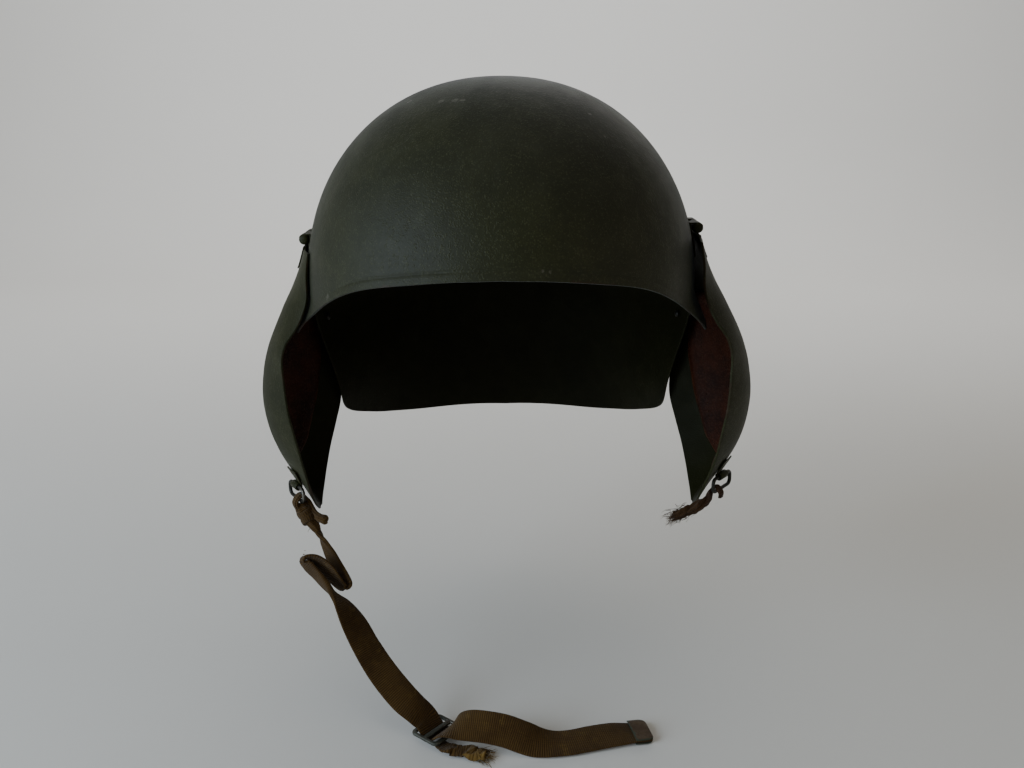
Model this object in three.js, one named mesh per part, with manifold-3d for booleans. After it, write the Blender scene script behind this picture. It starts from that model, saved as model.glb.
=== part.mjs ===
// Steel flak helmet with two hinged ear plates and a tied webbing chin strap.
// Millimetres, +Z up, the front looks along -Y, the wearer's left is +X.
// The origin is the inside of the crown's top, where a head meets the shell.
import * as THREE from 'three';
import { mergeVertices } from 'three/addons/utils/BufferGeometryUtils.js';
import Module from 'manifold-3d';

const wasm = await Module();
wasm.setup();

const { smoothstep, lerp, degToRad } = THREE.MathUtils;

// Driving sizes
const STEEL = 1.3;
const GAP = 0.3;
const CROWN = { halfWidth: 120, front: 132.7, rear: 136, height: 126, shoulder: 2.14, round: 2.145 };
const EAR_FLARE = { out: 9, start: 124, full: 152, end: 218 };
const NAPE_FLARE = { out: 8, start: 126, length: 120 };
const BROW_LIP = { out: 1.1, band: 5, fadeBearing: 54, endBearing: 66 };

const SHELL_GRID = { columns: 36, crownRows: 6, crownDrop: 64, sideRows: 9 };
const PLATE_GRID = { columns: 14, rows: 16 };
const PAD_GRID = { columns: 8, rows: 9 };
const ROUND = 14;

const HINGE = {
  pinX: 120.7, barrel: 3.2, bore: 1.95, pin: 1.6, length: 28, knuckles: 3, leaf: 0.8, foot: 18,
};
// Heights about the pin, down being more: the fixed leaf, the tabs over it and the arms out to the knuckles
const FIXED_LEAF = { top: 4.2, tabTop: -1.4, tabFoot: 5, armHalf: 1.2 };
// The strip of sheet from the moving leaf's top up to its knuckle
const WEB = { height: 4, middle: -3.1 };
// How one ear plate differs from the other: how deep its pin lies, how much lower its tip hangs,
// how far it swings out, how far its front is sprung off the head, and how its bail is turned
const SIDES = [
  { name: 'left', sign: 1, pinDrop: 90.3, lower: 4.3, swing: 1, spread: 5, bailTurn: 11 },
  { name: 'right', sign: -1, pinDrop: 95.3, lower: 0, swing: 0, spread: 0, bailTurn: 6 },
];

const PAD = { thickness: 2.6, clear: 0.8, top: 45, bottom: 152, front: -0.93 };
const BAIL = { wire: 1.2, inner: 20, drop: 6.5, corner: 3.2, below: 158.5, place: -0.62, standOff: 3.5 };
const LUG = { width: 9, thickness: 1, clear: 0.6, length: 11, overlap: 0.6, eye: 2.6, bore: 1.6 };
const STUD = { radius: 2.3, height: 1.3, bearing: 109, drop: 156, clear: 1.4 };
const BUCKLE = { length: 22, width: 25, thickness: 2.2, corner: 2, endBar: 2.8, middleBar: 3.6, rail: 2.2 };
const BUCKLE_PLACE = { x: -42.2, y: -93.3, z: -386.2, turn: -40 };
const CLIP = { length: 12.4, width: 20, thickness: 3.9, wall: 0.8 };

// The lower edge of the shell, from the brow's middle over the temple and the ear cut-out to the nape
const RIM = [
  { bearing: 0, drop: 101 },
  { bearing: 12, drop: 102 },
  { bearing: 24, drop: 104.8 },
  { bearing: 36, drop: 109 },
  { bearing: 45, drop: 114.5 },
  { bearing: 53, drop: 121.5 },
  { bearing: 61, drop: 129.5 },
  { bearing: 68, drop: 138 },
  { bearing: 74, drop: 147 },
  { bearing: 78.5, drop: 150 },
  { bearing: 83, drop: 143 },
  { bearing: 88, drop: 133 },
  { bearing: 94, drop: 131 },
  { bearing: 99, drop: 138 },
  { bearing: 103, drop: 154 },
  { bearing: 106, drop: 177 },
  { bearing: 108, drop: 202 },
  { bearing: 109.5, drop: 219 },
  { bearing: 113.5, drop: 227 },
  { bearing: 121, drop: 233.5 },
  { bearing: 132, drop: 240.5 },
  { bearing: 150, drop: 247 },
  { bearing: 180, drop: 250 },
];

// Level sections of an ear plate's outer face, closed: distance below the pin, then the front edge,
// the outermost point and the rear edge, each as a place front to back and a distance from the middle,
// and how squarely the face turns towards its edges
const PLATE = [
  { below: 4.3, frontY: -43, frontX: 113.3, outY: 0, outX: 121, rearY: 44, rearX: 113.4, round: 2.3 },
  { below: 16, frontY: -48, frontX: 114.2, outY: 0, outX: 124.9, rearY: 49, rearX: 115.2, round: 2.3 },
  { below: 30, frontY: -50, frontX: 114.4, outY: 0, outX: 131.4, rearY: 51, rearX: 117.2, round: 2.3 },
  { below: 40, frontY: -51, frontX: 117.6, outY: 0, outX: 136.7, rearY: 52, rearX: 119.5, round: 2.3 },
  { below: 48, frontY: -52, frontX: 122, outY: 0, outX: 140.4, rearY: 53, rearX: 121.5, round: 2.3 },
  { below: 56, frontY: -52, frontX: 128, outY: 0, outX: 144, rearY: 54, rearX: 122.5, round: 2.3 },
  { below: 66, frontY: -52, frontX: 131.2, outY: 0, outX: 148.2, rearY: 54, rearX: 122.3, round: 2.3 },
  { below: 80, frontY: -51, frontX: 131.4, outY: 0, outX: 152.4, rearY: 54, rearX: 119.6, round: 2.3 },
  { below: 100, frontY: -49, frontX: 130.6, outY: 0, outX: 155, rearY: 54, rearX: 116.8, round: 2.3 },
  { below: 120, frontY: -44, frontX: 128.3, outY: 1, outX: 153.6, rearY: 52, rearX: 115.8, round: 2.2 },
  { below: 138, frontY: -38, frontX: 126.5, outY: 3, outX: 149.4, rearY: 45, rearX: 119.5, round: 1.9 },
  { below: 152, frontY: -32, frontX: 125.3, outY: 6, outX: 144.2, rearY: 36, rearX: 122.5, round: 1.6 },
  { below: 164, frontY: -25, frontX: 124.6, outY: 7, outX: 137.6, rearY: 26, rearX: 124, round: 1.4 },
  { below: 173, frontY: -18, frontX: 124.2, outY: 4, outX: 130.8, rearY: 15, rearX: 124.3, round: 1.4 },
  { below: 179, frontY: -10, frontX: 124, outY: 0, outX: 126, rearY: 5, rearX: 124.2, round: 1.6 },
  { below: 181.5, frontY: -6, frontX: 123.9, outY: -2, outX: 124.7, rearY: 1, rearX: 124.1, round: 2 },
];

// How far back the lining pad reaches, as a share of the way to the plate's rear edge
const PAD_REAR = [
  { below: 45, share: 0.86 },
  { below: 80, share: 0.88 },
  { below: 106, share: 0.82 },
  { below: 125, share: 0.74 },
  { below: 142, share: 0.6 },
  { below: 152, share: 0.4 },
];

// The chin strap's way: from its rolled stub over the right bail's lower bar and down the bunched neck,
// through two folds that have taken a set, down to the table, through the buckle, over a hump and flat to
// the tip. Each row is a point of the centre line, the direction across the webbing, and its width and
// thickness there.
const STRAP = [
  { x: -115.5, y: -31, z: -272.5, acrossX: 0.3, acrossY: 0, acrossZ: 0.95, wide: 6, thick: 5.5 },
  { x: -119.5, y: -28.5, z: -272, acrossX: 0.3, acrossY: 0, acrossZ: 0.95, wide: 5, thick: 4.5 },
  { x: -123.5, y: -25, z: -270.5, acrossX: 0.4, acrossY: -0.2, acrossZ: 0.85, wide: 4.5, thick: 4 },
  { x: -127, y: -21, z: -267, acrossX: 0.6, acrossY: -0.6, acrossZ: 0.5, wide: 5, thick: 4 },
  { x: -128.8, y: -19.4, z: -263, acrossX: 0.54, acrossY: -0.84, acrossZ: 0, wide: 6, thick: 3 },
  { x: -132.2, y: -21.7, z: -258.9, acrossX: 0.54, acrossY: -0.84, acrossZ: 0, wide: 6, thick: 3 },
  { x: -135.6, y: -24, z: -263, acrossX: 0.54, acrossY: -0.84, acrossZ: 0, wide: 6, thick: 3 },
  { x: -134.2, y: -23.6, z: -267.6, acrossX: 0.54, acrossY: -0.84, acrossZ: 0, wide: 6, thick: 3.4 },
  { x: -130, y: -22.5, z: -272, acrossX: 0.4, acrossY: -0.85, acrossZ: 0.2, wide: 5, thick: 4 },
  { x: -126, y: -23.5, z: -277, acrossX: 0.1, acrossY: -0.93, acrossZ: 0.2, wide: 5, thick: 4 },
  { x: -121.3, y: -27, z: -283, acrossX: -0.2, acrossY: -0.93, acrossZ: 0.2, wide: 5, thick: 3.6 },
  { x: -117, y: -31, z: -289, acrossX: -0.2, acrossY: -0.93, acrossZ: 0.2, wide: 9, thick: 2.6 },
  { x: -113.2, y: -34, z: -295, acrossX: -0.2, acrossY: -0.93, acrossZ: 0.2, wide: 11, thick: 2 },
  { x: -108.3, y: -38.5, z: -302.4, acrossX: -0.2, acrossY: -0.93, acrossZ: 0.2, wide: 12, thick: 1.7 },
  { x: -103.6, y: -42, z: -309.2, acrossX: -0.2, acrossY: -0.93, acrossZ: 0.2, wide: 12, thick: 1.7 },
  { x: -101.5, y: -43.7, z: -312.8, acrossX: -0.2, acrossY: -0.93, acrossZ: 0.2, wide: 12, thick: 1.7 },
  { x: -103.6, y: -44.6, z: -314.4, acrossX: -0.2, acrossY: -0.93, acrossZ: 0.2, wide: 12, thick: 1.7 },
  { x: -108.8, y: -45, z: -308, acrossX: -0.2, acrossY: -0.93, acrossZ: 0.2, wide: 13, thick: 1.7 },
  { x: -114.1, y: -45, z: -299.6, acrossX: -0.2, acrossY: -0.93, acrossZ: 0.2, wide: 13, thick: 1.7 },
  { x: -120, y: -45, z: -294, acrossX: -0.2, acrossY: -0.93, acrossZ: 0.2, wide: 13, thick: 1.7 },
  { x: -126, y: -45, z: -292.3, acrossX: -0.2, acrossY: -0.93, acrossZ: 0.2, wide: 13, thick: 1.7 },
  { x: -128.2, y: -45.5, z: -294.3, acrossX: -0.2, acrossY: -0.93, acrossZ: 0.2, wide: 13, thick: 1.7 },
  { x: -125, y: -46.5, z: -297.7, acrossX: -0.2, acrossY: -0.93, acrossZ: 0.2, wide: 13, thick: 1.7 },
  { x: -119.5, y: -48, z: -303.3, acrossX: -0.2, acrossY: -0.93, acrossZ: 0.2, wide: 13, thick: 1.7 },
  { x: -113.7, y: -50.5, z: -309.2, acrossX: -0.25, acrossY: -0.93, acrossZ: 0.15, wide: 13, thick: 1.7 },
  { x: -109, y: -52.7, z: -314.4, acrossX: -0.25, acrossY: -0.93, acrossZ: 0.15, wide: 15, thick: 1.7 },
  { x: -103, y: -55.8, z: -319.9, acrossX: -0.3, acrossY: -0.92, acrossZ: 0.24, wide: 17, thick: 1.7 },
  { x: -95.3, y: -61.7, z: -330.2, acrossX: -0.58, acrossY: -0.81, acrossZ: -0.03, wide: 19, thick: 1.7 },
  { x: -87, y: -68.8, z: -342.5, acrossX: -0.67, acrossY: -0.73, acrossZ: -0.14, wide: 19, thick: 1.7 },
  { x: -76.2, y: -76.8, z: -356.1, acrossX: -0.74, acrossY: -0.63, acrossZ: -0.24, wide: 19, thick: 1.7 },
  { x: -63.5, y: -83.6, z: -369.3, acrossX: -0.74, acrossY: -0.6, acrossZ: -0.28, wide: 19, thick: 1.7 },
  { x: -54.6, y: -86.6, z: -376.8, acrossX: -0.68, acrossY: -0.72, acrossZ: -0.1, wide: 19, thick: 1.7 },
  { x: -49.3, y: -87.3, z: -381.9, acrossX: -0.643, acrossY: -0.766, acrossZ: 0, wide: 19, thick: 1.7 },
  { x: -46, y: -90.1, z: -386.2, acrossX: -0.643, acrossY: -0.766, acrossZ: 0, wide: 19, thick: 1.7 },
  { x: -44.2, y: -91.6, z: -388.3, acrossX: -0.643, acrossY: -0.766, acrossZ: 0, wide: 19, thick: 1.7 },
  { x: -42.2, y: -93.3, z: -388.6, acrossX: -0.643, acrossY: -0.766, acrossZ: 0, wide: 19, thick: 1.7 },
  { x: -40.2, y: -95, z: -388.3, acrossX: -0.643, acrossY: -0.766, acrossZ: 0, wide: 19, thick: 1.7 },
  { x: -38.4, y: -96.5, z: -386.2, acrossX: -0.643, acrossY: -0.766, acrossZ: 0, wide: 19, thick: 1.7 },
  { x: -35.6, y: -98.8, z: -382.5, acrossX: -0.66, acrossY: -0.74, acrossZ: -0.1, wide: 19, thick: 1.7 },
  { x: -29.5, y: -101, z: -378.5, acrossX: -0.65, acrossY: -0.6, acrossZ: -0.45, wide: 19, thick: 1.7 },
  { x: -20.5, y: -103.5, z: -376.2, acrossX: -0.6, acrossY: -0.5, acrossZ: -0.6, wide: 19, thick: 1.7 },
  { x: -9.5, y: -106, z: -376, acrossX: -0.6, acrossY: -0.5, acrossZ: -0.6, wide: 19, thick: 1.7 },
  { x: 0.5, y: -107.4, z: -377.6, acrossX: -0.6, acrossY: -0.5, acrossZ: -0.6, wide: 19, thick: 1.7 },
  { x: 10, y: -108.4, z: -381, acrossX: -0.6, acrossY: -0.55, acrossZ: -0.55, wide: 19, thick: 1.7 },
  { x: 19.5, y: -107.9, z: -385, acrossX: -0.5, acrossY: -0.75, acrossZ: -0.35, wide: 19, thick: 1.7 },
  { x: 29.5, y: -106.9, z: -387, acrossX: -0.35, acrossY: -0.9, acrossZ: -0.2, wide: 19, thick: 1.7 },
  { x: 40, y: -105, z: -387.6, acrossX: -0.3, acrossY: -0.93, acrossZ: -0.18, wide: 19, thick: 1.7 },
  { x: 53, y: -101.5, z: -387.4, acrossX: -0.22, acrossY: -0.95, acrossZ: -0.2, wide: 19, thick: 1.7 },
  { x: 66, y: -98, z: -387.4, acrossX: -0.2, acrossY: -0.95, acrossZ: -0.14, wide: 19, thick: 1.7 },
  { x: 77.4, y: -94.8, z: -388.35, acrossX: -0.196, acrossY: -0.98, acrossZ: 0, wide: 19, thick: 1.7 },
  { x: 82.6, y: -93.75, z: -388.6, acrossX: -0.196, acrossY: -0.98, acrossZ: 0, wide: 19, thick: 1.7 },
  { x: 87.9, y: -92.7, z: -388.85, acrossX: -0.196, acrossY: -0.98, acrossZ: 0, wide: 19, thick: 1.7 },
];

// The frayed end of webbing that comes out under the buckle
const TAIL = [
  { x: -40.7, y: -101.8, z: -388.8, acrossX: -0.643, acrossY: -0.766, acrossZ: 0, wide: 8, thick: 1.6 },
  { x: -36.8, y: -106.3, z: -389, acrossX: -0.6, acrossY: -0.8, acrossZ: 0, wide: 9, thick: 1.6 },
  { x: -30, y: -109.8, z: -389, acrossX: -0.4, acrossY: -0.92, acrossZ: 0, wide: 10, thick: 2.4 },
  { x: -20.5, y: -112.6, z: -389, acrossX: -0.25, acrossY: -0.97, acrossZ: 0, wide: 11, thick: 3 },
  { x: -11.5, y: -114.2, z: -388.8, acrossX: -0.25, acrossY: -0.97, acrossZ: 0, wide: 10.5, thick: 3.2 },
];

// What is left of the torn strap on the left bail
const REMNANT = [
  { x: 140.4, y: -25.8, z: -261.4, acrossX: -0.64, acrossY: -0.77, acrossZ: 0, wide: 5, thick: 2 },
  { x: 140.6, y: -25.8, z: -258, acrossX: -0.64, acrossY: -0.77, acrossZ: 0, wide: 5.5, thick: 2 },
  { x: 138, y: -23.6, z: -254.6, acrossX: -0.64, acrossY: -0.77, acrossZ: 0, wide: 5.5, thick: 2 },
  { x: 135.4, y: -21.4, z: -258, acrossX: -0.64, acrossY: -0.77, acrossZ: 0, wide: 5.5, thick: 2 },
  { x: 133, y: -24, z: -262.6, acrossX: -0.5, acrossY: -0.8, acrossZ: 0.3, wide: 5.5, thick: 2.4 },
  { x: 127, y: -27.5, z: -266, acrossX: -0.3, acrossY: -0.75, acrossZ: 0.6, wide: 6, thick: 2.8 },
  { x: 118.5, y: -29, z: -269.5, acrossX: -0.3, acrossY: -0.7, acrossZ: 0.6, wide: 6, thick: 2.6 },
  { x: 110, y: -30, z: -272.5, acrossX: -0.3, acrossY: -0.6, acrossZ: 0.7, wide: 6.5, thick: 2 },
];

// Colours and finishes
const paint = new THREE.MeshStandardMaterial({ color: 0x3f4334, roughness: 0.75, metalness: 0.1 });
const wornSteel = new THREE.MeshStandardMaterial({ color: 0x34342c, roughness: 0.45, metalness: 0.8 });
const leather = new THREE.MeshStandardMaterial({ color: 0x4a2a1a, roughness: 0.7, metalness: 0 });
const webbing = new THREE.MeshStandardMaterial({ color: 0x5a4a2c, roughness: 0.95, metalness: 0 });
const redWebbing = new THREE.MeshStandardMaterial({ color: 0x5c3a22, roughness: 0.95, metalness: 0 });
const buckleMetal = new THREE.MeshStandardMaterial({ color: 0x46504a, roughness: 0.55, metalness: 0.5 });

// A smooth curve through the rows of a table, by its first column
function through(rows, key, column) {
  const slope = rows.map((row, i) => {
    const before = rows[Math.max(i - 1, 0)];
    const after = rows[Math.min(i + 1, rows.length - 1)];
    return (after[column] - before[column]) / (after[key] - before[key]);
  });
  return (at) => {
    let i = 0;
    while (i < rows.length - 2 && at > rows[i + 1][key]) i += 1;
    const span = rows[i + 1][key] - rows[i][key];
    const t = THREE.MathUtils.clamp((at - rows[i][key]) / span, 0, 1);
    const rise = rows[i + 1][column] - rows[i][column];
    const bend = (1 - t) * (slope[i] * span - rise) - t * (slope[i + 1] * span - rise);
    return rows[i][column] + t * rise + t * (1 - t) * bend;
  };
}

// A closed geometry from points and triangles
function solid(points, triangles) {
  const geometry = new THREE.BufferGeometry();
  const places = points.flatMap((p) => p.toArray());
  geometry.setAttribute('position', new THREE.Float32BufferAttribute(places, 3));
  geometry.setIndex(triangles.flat());
  return geometry;
}

// Outward normals of a surface given as point(u, v), by small steps inside its range
function normalOf(point, u, v, step = 1e-3) {
  const u0 = Math.max(u - step, 0);
  const u1 = Math.min(u + step, 1);
  const v0 = Math.max(v - step, 0);
  const v1 = Math.min(v + step, 1);
  const along = point(u1, v).sub(point(u0, v));
  const down = point(u, v1).sub(point(u, v0));
  return along.cross(down).normalize().negate();
}

// A slab that follows point(u, v), u across and v down, between two heights over the surface
function slab(point, columns, rows, low, high) {
  const points = [];
  for (const height of [high, low]) {
    for (let i = 0; i <= rows; i += 1) {
      for (let j = 0; j <= columns; j += 1) {
        const u = j / columns;
        const v = i / rows;
        points.push(point(u, v).addScaledVector(normalOf(point, u, v), height));
      }
    }
  }
  const width = columns + 1;
  const layer = width * (rows + 1);
  const triangles = [];
  const quad = (a, b, c, d) => triangles.push([a, b, c], [a, c, d]);
  for (let i = 0; i < rows; i += 1) {
    for (let j = 0; j < columns; j += 1) {
      const a = i * width + j;
      quad(a, a + width, a + width + 1, a + 1);
      quad(layer + a, layer + a + 1, layer + a + width + 1, layer + a + width);
    }
  }
  const rim = [];
  for (let j = 0; j < columns; j += 1) rim.push(j);
  for (let i = 0; i < rows; i += 1) rim.push(i * width + columns);
  for (let j = columns; j > 0; j -= 1) rim.push(rows * width + j);
  for (let i = rows; i > 0; i -= 1) rim.push(i * width);
  rim.forEach((a, k) => {
    const b = rim[(k + 1) % rim.length];
    quad(a, b, layer + b, layer + a);
  });
  return solid(points, triangles);
}

// A tube whose rings are lists of points; open tubes get flat ends, a loop joins its last ring to its first
function tube(rings, isLoop) {
  const sides = rings[0].length;
  const points = rings.flat();
  const triangles = [];
  const steps = isLoop ? rings.length : rings.length - 1;
  for (let i = 0; i < steps; i += 1) {
    const next = ((i + 1) % rings.length) * sides;
    for (let j = 0; j < sides; j += 1) {
      const k = (j + 1) % sides;
      triangles.push([i * sides + j, i * sides + k, next + k], [i * sides + j, next + k, next + j]);
    }
  }
  if (!isLoop) {
    const last = (rings.length - 1) * sides;
    for (let j = 1; j < sides - 1; j += 1) {
      triangles.push([0, j + 1, j], [last, last + j, last + j + 1]);
    }
  }
  return solid(points, triangles);
}

// The other hand of a geometry, mirrored in the middle plane with its faces still pointing out
function mirrored(geometry) {
  const other = geometry.clone().scale(-1, 1, 1);
  const index = other.index.array;
  for (let i = 0; i < index.length; i += 3) [index[i], index[i + 1]] = [index[i + 1], index[i]];
  return other;
}

function toManifold(geometry) {
  const bare = geometry.clone();
  bare.deleteAttribute('normal');
  bare.deleteAttribute('uv');
  const merged = mergeVertices(bare, 1e-4);
  return new wasm.Manifold(new wasm.Mesh({
    numProp: 3,
    vertProperties: new Float32Array(merged.attributes.position.array),
    triVerts: new Uint32Array(merged.index.array),
  }));
}

function fromManifold(body) {
  const mesh = body.getMesh();
  const geometry = new THREE.BufferGeometry();
  const places = new Float32Array(mesh.vertProperties);
  geometry.setAttribute('position', new THREE.BufferAttribute(places, 3));
  geometry.setIndex(new THREE.BufferAttribute(new Uint32Array(mesh.triVerts), 1));
  return geometry;
}

function joined(geometries) {
  return fromManifold(geometries.map(toManifold).reduce((sum, body) => sum.add(body)));
}

function cut(geometry, tools) {
  const whole = toManifold(geometry);
  return fromManifold(tools.map(toManifold).reduce((rest, body) => rest.subtract(body), whole));
}

// Shell

const napeOut = (drop) => NAPE_FLARE.out * Math.max((drop - NAPE_FLARE.start) / NAPE_FLARE.length, 0) ** 2;

// Half width, front reach and rear reach of the shell's outer face at a drop below its outer top
function reachAt(drop) {
  const above = Math.max(CROWN.height - drop, 0) / CROWN.height;
  const swell = Math.max(1 - above ** CROWN.shoulder, 0) ** (1 / CROWN.round);
  const { start, full, end } = EAR_FLARE;
  const ear = smoothstep(drop, start, full) * (1 - smoothstep(drop, full, end));
  return {
    side: CROWN.halfWidth * swell + EAR_FLARE.out * ear,
    front: CROWN.front * swell,
    rear: CROWN.rear * swell + napeOut(drop),
  };
}

// The shell's outer face by bearing, in degrees from the brow towards +X, and by drop
function shellPoint(bearing, drop) {
  const reach = reachAt(drop);
  const angle = degToRad(bearing);
  const depth = Math.cos(angle) > 0 ? reach.front : reach.rear;
  return new THREE.Vector3(reach.side * Math.sin(angle), -depth * Math.cos(angle), STEEL - drop);
}

function shellNormal(bearing, drop) {
  if (drop < 0.01) return new THREE.Vector3(0, 0, 1);
  const turn = shellPoint(bearing + 0.1, drop).sub(shellPoint(bearing - 0.1, drop));
  const fall = shellPoint(bearing, drop * 1.001).sub(shellPoint(bearing, drop * 0.999));
  return fall.cross(turn).normalize();
}

// Points of the rim once round, closer together where the table's rows are
function rimSteps(columns) {
  const half = new THREE.SplineCurve(RIM.map((p) => new THREE.Vector2(p.bearing, p.drop)));
  const side = half.getPoints(columns).map((p) => ({ bearing: p.x, drop: p.y }));
  const other = side.slice(1, -1).reverse().map((p) => ({ bearing: 360 - p.bearing, drop: p.drop }));
  return [...side, ...other];
}

// Rows of the crown share their drops all round, the rows under them share out what is left to the rim,
// and the last, narrow one is the brow's turned lip
function shellGeometry() {
  const rim = rimSteps(SHELL_GRID.columns);
  const count = rim.length;
  const { crownRows, crownDrop, sideRows } = SHELL_GRID;
  const rows = crownRows + sideRows;
  const rowDrop = (edge, row) => {
    if (row === rows) return edge;
    if (row <= crownRows) return crownDrop * (row / crownRows) ** 2;
    return lerp(crownDrop, edge - BROW_LIP.band, (row - crownRows) / (sideRows - 1));
  };
  const lipAt = (bearing) => {
    const fromBrow = Math.min(bearing, 360 - bearing);
    return BROW_LIP.out * (1 - smoothstep(fromBrow, BROW_LIP.fadeBearing, BROW_LIP.endBearing));
  };
  const layers = [0, STEEL].map((depth) => {
    const top = new THREE.Vector3(0, 0, STEEL - depth);
    const rings = [];
    for (let row = 1; row <= rows; row += 1) {
      rings.push(rim.map((edge) => {
        const drop = rowDrop(edge.drop, row);
        const out = (row === rows ? lipAt(edge.bearing) : 0) - depth;
        return shellPoint(edge.bearing, drop).addScaledVector(shellNormal(edge.bearing, drop), out);
      }));
    }
    return [top, ...rings.flat()];
  });
  const layer = layers[0].length;
  const triangles = [];
  const last = 1 + (rows - 1) * count;
  for (let j = 0; j < count; j += 1) {
    const k = (j + 1) % count;
    triangles.push([0, 1 + j, 1 + k], [layer, layer + 1 + k, layer + 1 + j]);
    for (let i = 0; i < rows - 1; i += 1) {
      const a = 1 + i * count;
      const b = a + count;
      triangles.push([a + j, b + j, b + k], [a + j, b + k, a + k]);
      const c = layer + a;
      const d = layer + b;
      triangles.push([c + j, d + k, d + j], [c + j, c + k, d + k]);
    }
    triangles.push([last + j, layer + last + j, layer + last + k], [last + j, layer + last + k, last + k]);
  }
  return solid(layers.flat(), triangles);
}

// Ear plates, worked out on the +X side with the pin's axis as their zero

const plateCurves = Object.fromEntries(
  Object.keys(PLATE[0]).filter((key) => key !== 'below').map((key) => [key, through(PLATE, 'below', key)]),
);

// The plate's outer face: place runs from -1 at the front edge over 0 to 1 at the rear edge.
// One plate is sprung: its front stands off, at the hinge only its corner, and it reaches lower.
const SPRING = { atHinge: 4, freeFrom: 10, freeBy: 60, fadeFrom: 130, fadeBy: 181 };
const LOWERED = { from: 4, by: 70 };

function platePoint(below, place, side) {
  const at = Object.fromEntries(Object.entries(plateCurves).map(([key, curve]) => [key, curve(below)]));
  const [edgeX, edgeY] = place < 0 ? [at.frontX, at.frontY] : [at.rearX, at.rearY];
  const share = Math.abs(place);
  const held = lerp(SPRING.atHinge, 1, smoothstep(below, SPRING.freeFrom, SPRING.freeBy));
  const fade = 1 - smoothstep(below, SPRING.fadeFrom, SPRING.fadeBy);
  const stand = side.spread * ((1 - place) / 2) ** held * fade;
  const x = at.outX - (at.outX - edgeX) * share ** at.round + stand;
  const down = below + side.lower * smoothstep(below, LOWERED.from, LOWERED.by);
  return new THREE.Vector3(x - HINGE.pinX, lerp(at.outY, edgeY, share), -down);
}

// A patch of the plate's outer face between two heights and two places, as a point(u, v)
function platePatch(top, bottom, front, rear, side) {
  return (u, v) => {
    const below = lerp(top, bottom, v);
    return platePoint(below, lerp(front(below), rear(below), u), side);
  };
}

const always = (value) => () => value;
const topOf = PLATE[0].below;
const tipOf = PLATE[PLATE.length - 1].below;

function plateGeometry(side) {
  const patch = platePatch(topOf, tipOf, always(-1), always(1), side);
  return slab(patch, PLATE_GRID.columns, PLATE_GRID.rows, -STEEL, 0);
}

function padGeometry(side) {
  const patch = platePatch(PAD.top, PAD.bottom, always(PAD.front), through(PAD_REAR, 'below', 'share'), side);
  const face = -STEEL - PAD.clear;
  return slab(patch, PAD_GRID.columns, PAD_GRID.rows, face - PAD.thickness, face);
}

// Hinge, worked out about its pin

const knuckleLength = HINGE.length / HINGE.knuckles;
const knuckleMiddle = (index) => (index - (HINGE.knuckles - 1) / 2) * knuckleLength;

function knuckle(index) {
  const body = new THREE.CylinderGeometry(HINGE.barrel, HINGE.barrel, knuckleLength - GAP, ROUND);
  return body.translate(0, knuckleMiddle(index), 0);
}

const knuckleSpan = (index) => {
  const half = (knuckleLength - GAP) / 2;
  return [knuckleMiddle(index) - half, knuckleMiddle(index) + half];
};

// A bore's tool reaches past both faces of what it cuts
const PAST = 2;
const boreTool = () => new THREE.CylinderGeometry(HINGE.bore, HINGE.bore, HINGE.length + 2 * PAST, ROUND);

const placeAtY = (below, y) => {
  const edge = y < 0 ? plateCurves.frontY(below) : plateCurves.rearY(below);
  return (Math.abs(y) / Math.abs(edge)) * Math.sign(y);
};

// The moving leaf lies on the plate's outer face and carries the middle knuckle
function plateLeafGeometry(side) {
  const half = HINGE.length / 2;
  const patch = (u, v) => {
    const below = lerp(topOf, HINGE.foot, v);
    return platePoint(below, placeAtY(below, lerp(-half, half, u)), side);
  };
  const [from, to] = knuckleSpan(1);
  const face = platePoint(topOf, 0, side).x + GAP;
  const web = new THREE.BoxGeometry(HINGE.leaf, to - from, WEB.height);
  web.translate(face + HINGE.leaf / 2, (from + to) / 2, WEB.middle);
  return cut(joined([slab(patch, 4, 2, GAP, GAP + HINGE.leaf), knuckle(1), web]), [boreTool()]);
}

// The fixed leaf lies on the shell under the plate, and its arms carry the outer knuckles
function shellLeafGeometry(side) {
  const strip = (upper, lower, fromY, toY, low, high, columns) => {
    const patch = (u, v) => {
      const drop = side.pinDrop + lerp(upper, lower, v);
      const y = lerp(fromY, toY, u);
      const reach = reachAt(drop);
      const depth = y < 0 ? reach.front : reach.rear;
      const x = reach.side * Math.sqrt(1 - (y / depth) ** 2);
      return new THREE.Vector3(x - HINGE.pinX, y, -(drop - side.pinDrop));
    };
    return slab(patch, columns, 2, low, high);
  };
  const half = HINGE.length / 2;
  const armReach = HINGE.pinX - reachAt(side.pinDrop).side;
  const { top, tabTop, tabFoot, armHalf } = FIXED_LEAF;
  const outer = GAP + HINGE.leaf;
  const parts = [strip(top, HINGE.foot, -half, half, GAP, outer, 4)];
  for (const index of [0, HINGE.knuckles - 1]) {
    const [from, to] = knuckleSpan(index);
    parts.push(knuckle(index));
    parts.push(strip(tabTop, tabFoot, from, to, GAP, outer, 1));
    parts.push(strip(-armHalf, armHalf, from, to, GAP + HINGE.leaf / 2, armReach, 1));
  }
  return cut(joined(parts), [boreTool()]);
}

const pinGeometry = () => new THREE.CylinderGeometry(HINGE.pin, HINGE.pin, HINGE.length, 10);

// Strap bail and the lug that holds it on the plate's lower outer face

const NEARBY = { below: 4, place: 0.1 };

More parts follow.
